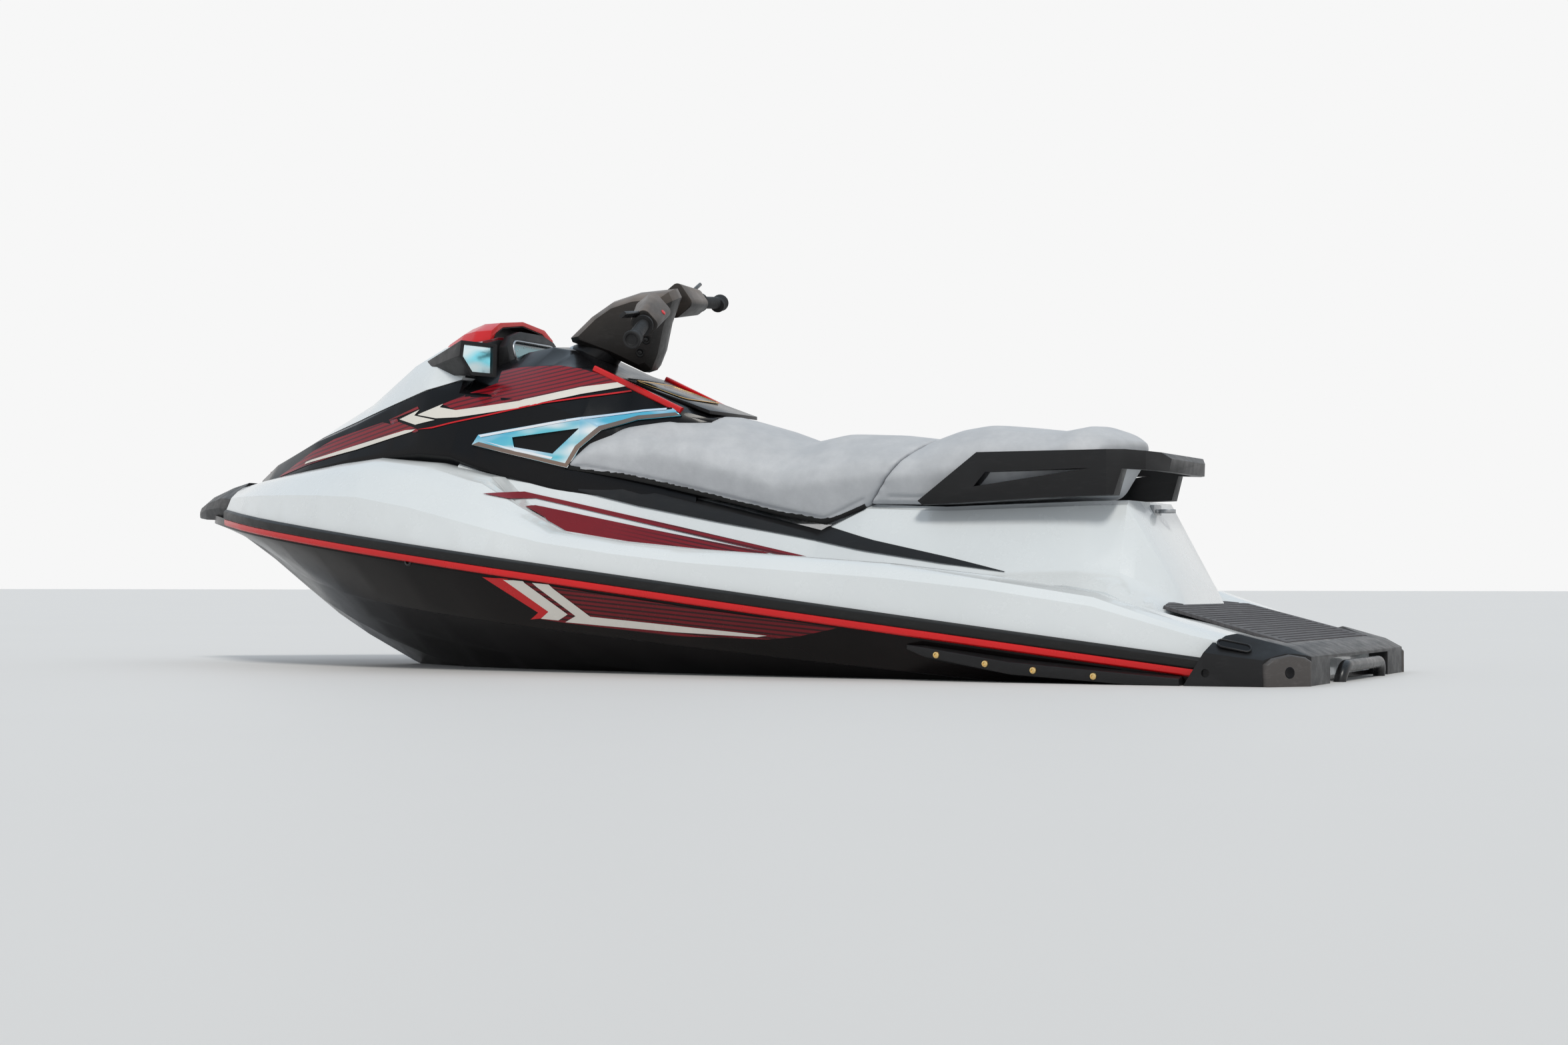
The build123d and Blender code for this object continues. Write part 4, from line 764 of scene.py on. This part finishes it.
def added(name, forms, finish, body="craft", edge=0.0):
    """A new piece of some forms, riding on a body."""
    points, faces = [], []
    for more, around in forms:
        faces += [tuple(len(points) + k for k in face) for face in around]
        points += more
    data = bpy.data.meshes.new(name)
    data.from_pydata(points, [], faces)
    mesh = bmesh.new()
    mesh.from_mesh(data)
    bmesh.ops.recalc_face_normals(mesh, faces=mesh.faces[:])
    mesh.to_mesh(data)
    mesh.free()
    data.materials.append(FINISH[finish])
    piece = shown(name, data, body)
    if edge:
        rounded(piece, edge, 2)
    smooth(piece)


BOLT = [(1.0, -0.5), (1.0, 0.2), (0.84, 0.44), (0.5, 0.52), (0.44, 0.12), (0.02, 0.12)]


def bolt(at, axis, radius):
    """A domed bolt head with a socket."""
    return turned(at, axis, [(radius * r, radius * h) for r, h in BOLT])


# Rub pads over the stern bumper's corners, whose places are (along the corner, z)
CORNER = Vector((-1.644, 0.470, 0.0))
ALONG = Vector((0.6506, 0.7591, 0.0))
OUT = Vector((-0.7591, 0.6506, 0.0))
PAD = [(0.004, -0.003), (0.124, -0.003), (0.125, 0.048), (0.105, 0.061), (0.060, 0.069), (0.020, 0.063),
       (0.004, 0.054)]
PAD_MIDDLE = (0.066, 0.027)
PAD_RINGS = [(-0.001, 1.0), (0.007, 0.98), (0.0112, 0.92), (0.0120, 0.84)]   # (height, share of the outline)
PAD_HOLE = (0.064, 0.030)
WASHER_AT = 0.0105           # height of the washer's foot
PAD_WASHER = [(0.0125, 0.0), (0.0125, 0.0018), (0.0105, 0.0026), (0.0085, 0.0018), (0.001, 0.0017)]


def on_pad(place, out, share=1.0):
    """A point over the bumper's corner face."""
    t, z = (m + (c - m) * share for c, m in zip(place, PAD_MIDDLE))
    return CORNER + ALONG * t + OUT * out + Vector((0, 0, z))


pad = skin([[on_pad(place, out, share) for place in PAD] for out, share in PAD_RINGS])
added("corner_pads", mirrored(pad), "worn_black", edge=0.0012)
added("corner_washers", mirrored(turned(on_pad(PAD_HOLE, WASHER_AT), OUT, PAD_WASHER)), "cowl_black")

# Hand recesses in the stern bumper's top: a dark floor and a raised rim, both long ovals
RECESS = Vector((-1.497, 0.547, 0.0873))
RECESS_LONG = Vector((0.976, 0.098, 0.195)).normalized()
RECESS_ACROSS = Vector((0.10, -0.80, 0.60)).normalized()
RECESS_OUT = RECESS_ACROSS.cross(RECESS_LONG).normalized()
RECESS_STRAIGHT = 0.024      # half the length of its straight sides
RECESS_ROUND = 0.0125
RECESS_SIDES = 16
RECESS_DEEP = 0.0020         # depth of the floor's underside, and the floor's thickness
RECESS_FLOOR = 0.0012
RIM_DEEP = 0.0003            # depth and radius of the rim
RIM_RADIUS = 0.0022


def oval(out):
    """The recess's outline, at a height over the bumper's top."""
    points = []
    for k in range(RECESS_SIDES):
        angle = 2 * math.pi * (k + 0.5) / RECESS_SIDES
        along = math.copysign(RECESS_STRAIGHT, math.cos(angle)) + RECESS_ROUND * math.cos(angle)
        across = RECESS_ROUND * math.sin(angle)
        points.append(RECESS + RECESS_LONG * along + RECESS_ACROSS * across + RECESS_OUT * out)
    return points


recess_floor = plate(oval(-RECESS_DEEP), RECESS_OUT * RECESS_FLOOR)
recess_rim = cord(oval(-RIM_DEEP), RIM_RADIUS, RECESS_OUT, loop=True)
added("recess_floors", mirrored(recess_floor), "cowl_black")
added("recess_rims", mirrored(recess_rim), "bumper_black")

# Brass bolts of the sponsons, and bolts in the sides of the stern bumper
PORT = (0, 1, 0)
SPONSON_BOLTS = [(-0.829, 0.5895, 0.060), (-0.945, 0.5895, 0.042), (-1.057, 0.5885, 0.029),
                 (-1.194, 0.5845, 0.018)]
added("sponson_bolts", [form for at in SPONSON_BOLTS for form in mirrored(bolt(at, PORT, 0.0080))], "brass")
added("bumper_bolts", mirrored(bolt((-1.440, 0.556, 0.028), PORT, 0.0065)), "bolt_steel")

# Steering frame: its x runs to starboard along the bars, y forward and up, z up the column
CLAMP = Vector((0.179, 0.0, 0.958))
RAKE = math.radians(55)
TURNED = math.radians(16)
COLUMN = Vector((-math.sin(RAKE), 0, math.cos(RAKE)))
AHEAD = Vector((math.cos(RAKE), 0, math.sin(RAKE)))
BAR_X = Vector((0, -1, 0)) * math.cos(TURNED) + AHEAD * math.sin(TURNED)
BAR_Y = Vector((0, 1, 0)) * math.sin(TURNED) + AHEAD * math.cos(TURNED)

# Bolts and washers in the sides of the steering cover: (side, place)
COVER_HALF = 0.0662
COVER_OUT = 0.001            # how far a bolt stands out from its washer's foot
COVER_WASHER = [(0.0125, -0.001), (0.0125, 0.0014), (0.0105, 0.0022), (0.0085, 0.0010), (0.001, 0.0010)]
COVER_BOLTS = [(side, CLAMP + BAR_X * (side * COVER_HALF) + BAR_Y * y + COLUMN * z)
               for side in (-1, 1) for y, z in ((-0.054, -0.077), (-0.070, -0.112))]
added("cover_washers", [turned(at, BAR_X * side, COVER_WASHER) for side, at in COVER_BOLTS], "rail_black",
      "handlebars")
cover_bolts = [bolt(at + BAR_X * (side * COVER_OUT), BAR_X * side, 0.0062) for side, at in COVER_BOLTS]
added("cover_bolts", cover_bolts, "bar_metal", "handlebars")

# Stop switch on the port switch pod
STOP_AT = (0.1125, 0.1290, 0.9130)
STOP_AXIS = (-0.83, 0.05, 0.55)
STOP_SWITCH = [(0.0095, -0.003), (0.0095, 0.0015), (0.0080, 0.0022), (0.0074, 0.0020), (0.0072, 0.0060),
               (0.0060, 0.0072), (0.001, 0.0074)]
added("stop_switch", [turned(STOP_AT, STOP_AXIS, STOP_SWITCH)], "accent_red", "handlebars")

# Flared ends of the grips: (place, whether it points along the grips' line or against it)
GRIP_ENDS = [((0.0819, 0.3422, 0.8265), -1), ((0.2002, -0.3768, 0.9954), 1)]
GRIP_END = [(0.0192, -0.030), (0.0204, -0.026), (0.0196, -0.022), (0.0196, -0.012), (0.0222, -0.005),
            (0.0236, 0.001), (0.0230, 0.005), (0.0205, 0.0065), (0.0165, 0.0055), (0.0130, 0.0015),
            (0.0125, 0.0004), (0.001, 0.0004)]
added("grip_ends", [turned(at, Vector(GRIP_LINE) * way, GRIP_END, 28) for at, way in GRIP_ENDS],
      "grip_rubber", "handlebars")

# Collar round the column's foot
COLLAR = [(0.060, -0.330), (0.0775, -0.330), (0.0735, -0.306), (0.0655, -0.272), (0.0640, -0.268),
          (0.056, -0.268)]
added("column_collar", [turned(CLAMP, COLUMN, COLLAR, 40)], "collar_grey")

# Dark skirt under the seat's edge, in millimetres: that edge as (x, half-breadth, z), and the skirt's section
SEAT_EDGE = [(296, 300, 508), (240, 292, 500), (150, 278, 484), (50, 262, 463), (-60, 250, 437),
             (-174, 243, 410), (-284, 238, 384), (-393, 232, 362), (-440, 230, 380), (-498, 229, 402)]
SKIRT = [(-16, 1), (-3, 1), (-1, 6), (-2, 24), (-16, 26)]
skirt = skin([[(x / 1000, (y + dy) / 1000, (z + dz) / 1000) for dy, dz in SKIRT] for x, y, z in SEAT_EDGE])
added("seat_skirt", mirrored(skirt), "rail_black")

# Painted shade inside the visor's hollow: a dark sheet along its walls, and a dark wall at its fore end
VISOR_AFT = 0.6068
VISOR_FORE = 0.6600
VISOR_WALL = 0.6585
HOLLOW = whole([(0.1465, 0.850), (0.1465, 0.8675), (0.137, 0.881), (0.1015, 0.8995), (0.0, 0.9125)])
SHADE_SHEET = HOLLOW + [(y * 0.985, z - 0.0012) for y, z in reversed(HOLLOW)]
shade_sheet = skin([[(x, y, z) for y, z in SHADE_SHEET] for x in (VISOR_AFT, VISOR_FORE)])
wall = plate([(VISOR_WALL, y, z) for y, z in HOLLOW], (0.002, 0, 0))
added("visor_painted_shade", [shade_sheet, wall], "bumper_black", "hood")

# Dark aft end of the hood, below the visor's hollow
HOOD_AFT = 0.6036
HOOD_END = whole([(0.290, 0.7535), (0.2385, 0.8405), (0.1275, 0.8655), (0.0, 0.8735)])
added("hood_end", [plate([(HOOD_AFT, y, z) for y, z in HOOD_END], (0.0012, 0, 0))], "bumper_black",
      "hood", edge=0.0004)

# Arms that carry the mirrors, beside the gauge: sections as (x, half-breadth, lower z, upper z)
ARM = [(0.528, 0.270, 0.768, 0.829), (0.560, 0.262, 0.762, 0.833), (0.606, 0.246, 0.758, 0.838)]
ARM_X = 0.010                # how far the outer side lies forward of the inner side
ARM_HALF = 0.004
arm = skin([[(x, y - ARM_HALF, low), (x + ARM_X, y + ARM_HALF, low), (x + ARM_X, y + ARM_HALF, high),
             (x, y - ARM_HALF, high)] for x, y, low, high in ARM])
added("mirror_arms", mirrored(arm), "collar_grey", "hood", edge=0.002)

# Gauge: a ring round its window, the screen, and ticks that fan out from the screen's foot
FACE_AT = 0.5790             # x of the window
FACE_Z = 0.836
FACE_HALF = 0.106
FACE_RISE = 0.025            # half its height
FACE_ROUND = 0.020
SCREEN = 0.0012              # thickness of the screen
SCREEN_IN = 0.006            # how far the screen stays inside the window
RING_AT = 0.5662             # x of the ring at the window's middle
RING_RAKE = 0.23
RING_OUT = 0.0035            # how far the ring lies outside the window
RING_RADIUS = 0.0028
TICKS = 19
TICK_FIRST = 162             # degrees
TICK_TURN = 8                # degrees from one to the next
TICK_FOOT = 0.812            # z of the fan's centre
TICK_REACH = 0.105
TICK_END = 0.97              # share of the reach at which a tick ends
TICK_SQUASH = 0.42           # height of the fan as a share of its half-breadth
TICK_HALF = 0.0011
TICK_THICK = 0.0006
LONG_TICK = 0.0085           # every third one
SHORT_TICK = 0.005


def window(grow):
    """Points (y, z) of the gauge window's outline, grown all round."""
    points = []
    for across, up, start in ((1, 1, 0), (-1, 1, 90), (-1, -1, 180), (1, -1, 270)):
        for turn in (0, 22.5, 45, 67.5, 90):
            angle = math.radians(start + turn)
            points.append((across * (FACE_HALF - FACE_ROUND) + (FACE_ROUND + grow) * math.cos(angle),
                           FACE_Z + up * (FACE_RISE - FACE_ROUND) + (FACE_ROUND + grow) * math.sin(angle)))
    return points


def tick(k):
    """One of the gauge's ticks."""
    angle = math.radians(TICK_FIRST - TICK_TURN * k)
    ray = Vector((0, math.cos(angle), math.sin(angle) * TICK_SQUASH))
    side = Vector((0, math.sin(angle), -math.cos(angle))) * TICK_HALF
    centre = Vector((FACE_AT - SCREEN, 0.0, TICK_FOOT))
    near = centre + ray * (TICK_REACH - (SHORT_TICK if k % 3 else LONG_TICK))
    far = centre + ray * TICK_REACH * TICK_END
    return plate([near - side, far - side, far + side, near + side], (-TICK_THICK, 0, 0))


ticks = [tick(k) for k in range(TICKS)]
ring = [(RING_AT + (z - FACE_Z) * RING_RAKE, y, z) for y, z in window(RING_OUT)]
added("gauge_screen", [plate([(FACE_AT, y, z) for y, z in window(-SCREEN_IN)], (-SCREEN, 0, 0))],
      "screen_blue")
added("gauge_ticks", [form for form in ticks if min(point.z for point in form[0]) > TICK_FOOT], "tick_white")
added("gauge_ring", [cord(ring, RING_RADIUS, (1, 0, 0), loop=True)], "collar_grey")

# Glossy panel on the glove box lid, with a thin bright outline: the panel's outline is (x, y)
LID_EDGE = (0.217, 0.7484)   # x and z of the lid's fore edge
LID_SLOPE = 0.3603
PANEL = [(0.205, 0.094), (0.205, -0.094), (0.192, -0.104), (0.075, -0.104), (0.060, -0.090), (0.060, 0.090),
         (0.075, 0.104), (0.192, 0.104)]
PANEL_RISE = Vector((-0.0008, 0, 0.0022))
LINE_RADIUS = 0.0011
on_lid = [Vector((x, y, LID_EDGE[1] - LID_SLOPE * (LID_EDGE[0] - x))) for x, y in PANEL]
lid_line = cord([point + PANEL_RISE for point in on_lid], LINE_RADIUS, (LID_SLOPE, 0, -1), loop=True)
added("lid_panel", [plate(on_lid, PANEL_RISE)], "cowl_black", "lid", edge=0.0006)
added("lid_line", [lid_line], "gold_line", "lid")

# Cooling outlet in the port side of the bow
OUTLET_AT = (0.601, 0.5525, 0.274)
OUTLET_AXIS = (0.10, 1, -0.08)
OUTLET = [(0.011, -0.004), (0.011, 0.002), (0.0085, 0.0036), (0.006, 0.003), (0.0055, -0.003),
          (0.0005, -0.003)]
added("side_outlet", [turned(OUTLET_AT, OUTLET_AXIS, OUTLET)], "bar_metal")


# Stage, light and camera

def make_floor():
    """The floor at the waterline."""
    bpy.ops.mesh.primitive_plane_add(size=2 * FLOOR_HALF, location=(0, 0, 0))
    floor = bpy.context.object
    floor.name = "floor"
    tree, bsdf, where = shader("floor")
    base = mixed(tree, noise(tree, where, 0.8, 3.0), toned(FLOOR_COLOUR, 0.97), FLOOR_COLOUR)
    tree.links.new(base, bsdf.inputs["Base Color"])
    bsdf.inputs["Roughness"].default_value = FLOOR_ROUGH
    floor.data.materials.append(FINISH["floor"])


def make_world():
    """The pale world that is seen, also in reflections and through glass, and the fill that gives light."""
    world = bpy.data.worlds.new("studio")
    bpy.context.scene.world = world
    world.use_nodes = True
    tree = world.node_tree
    tree.nodes.clear()
    up = split(tree, tree.nodes.new("ShaderNodeTexCoord").outputs["Generated"])["Z"]
    seen = tree.nodes.new("ShaderNodeBackground")
    tree.links.new(ramp(tree, up, [(0.0, SKY_LOW), (0.25, SKY_LOW), (0.6, SKY_HIGH), (1.0, SKY_HIGH)]),
                   seen.inputs["Color"])
    fill = tree.nodes.new("ShaderNodeBackground")
    fill.inputs["Color"].default_value = (*FILL_COLOUR, 1.0)
    fill.inputs["Strength"].default_value = FILL
    path = tree.nodes.new("ShaderNodeLightPath")
    direct = figured(tree, "MAXIMUM", path.outputs["Is Camera Ray"], path.outputs["Is Glossy Ray"])
    any_seen = figured(tree, "MAXIMUM", direct, path.outputs["Is Transmission Ray"])
    mix = tree.nodes.new("ShaderNodeMixShader")
    tree.links.new(any_seen, mix.inputs[0])
    tree.links.new(fill.outputs[0], mix.inputs[1])
    tree.links.new(seen.outputs[0], mix.inputs[2])
    tree.links.new(mix.outputs[0], tree.nodes.new("ShaderNodeOutputWorld").inputs["Surface"])


def make_sun():
    """The key light."""
    sun = bpy.data.lights.new("key", "SUN")
    sun.energy = KEY
    sun.angle = math.radians(KEY_SPREAD)
    sun.color = KEY_COLOUR
    lamp = bpy.data.objects.new("key", sun)
    lamp.rotation_mode = "QUATERNION"
    lamp.rotation_quaternion = Vector(KEY_FROM).to_track_quat("Z", "Y")
    bpy.context.scene.collection.objects.link(lamp)


def make_camera():
    """The photograph's viewpoint."""
    level = math.cos(CAMERA_PITCH)
    forward = Vector((math.sin(CAMERA_YAW) * level, -math.cos(CAMERA_YAW) * level, math.sin(CAMERA_PITCH)))
    right = Vector((-math.cos(CAMERA_YAW), -math.sin(CAMERA_YAW), 0.0))
    up = right.cross(forward)
    data = bpy.data.cameras.new("camera")
    data.sensor_fit = "HORIZONTAL"
    data.sensor_width = SENSOR
    data.lens = FOCAL_PIXELS / PHOTO_WIDTH * SENSOR
    data.clip_end = CAMERA_REACH
    camera = bpy.data.objects.new("camera", data)
    camera.matrix_world = Matrix((
        (right.x, up.x, -forward.x, CAMERA_AT[0]),
        (right.y, up.y, -forward.y, CAMERA_AT[1]),
        (right.z, up.z, -forward.z, CAMERA_AT[2]),
        (0, 0, 0, 1),
    ))
    bpy.context.scene.collection.objects.link(camera)
    bpy.context.scene.camera = camera


make_floor()
make_world()
make_sun()
make_camera()
bpy.context.scene.view_settings.view_transform = "Standard"
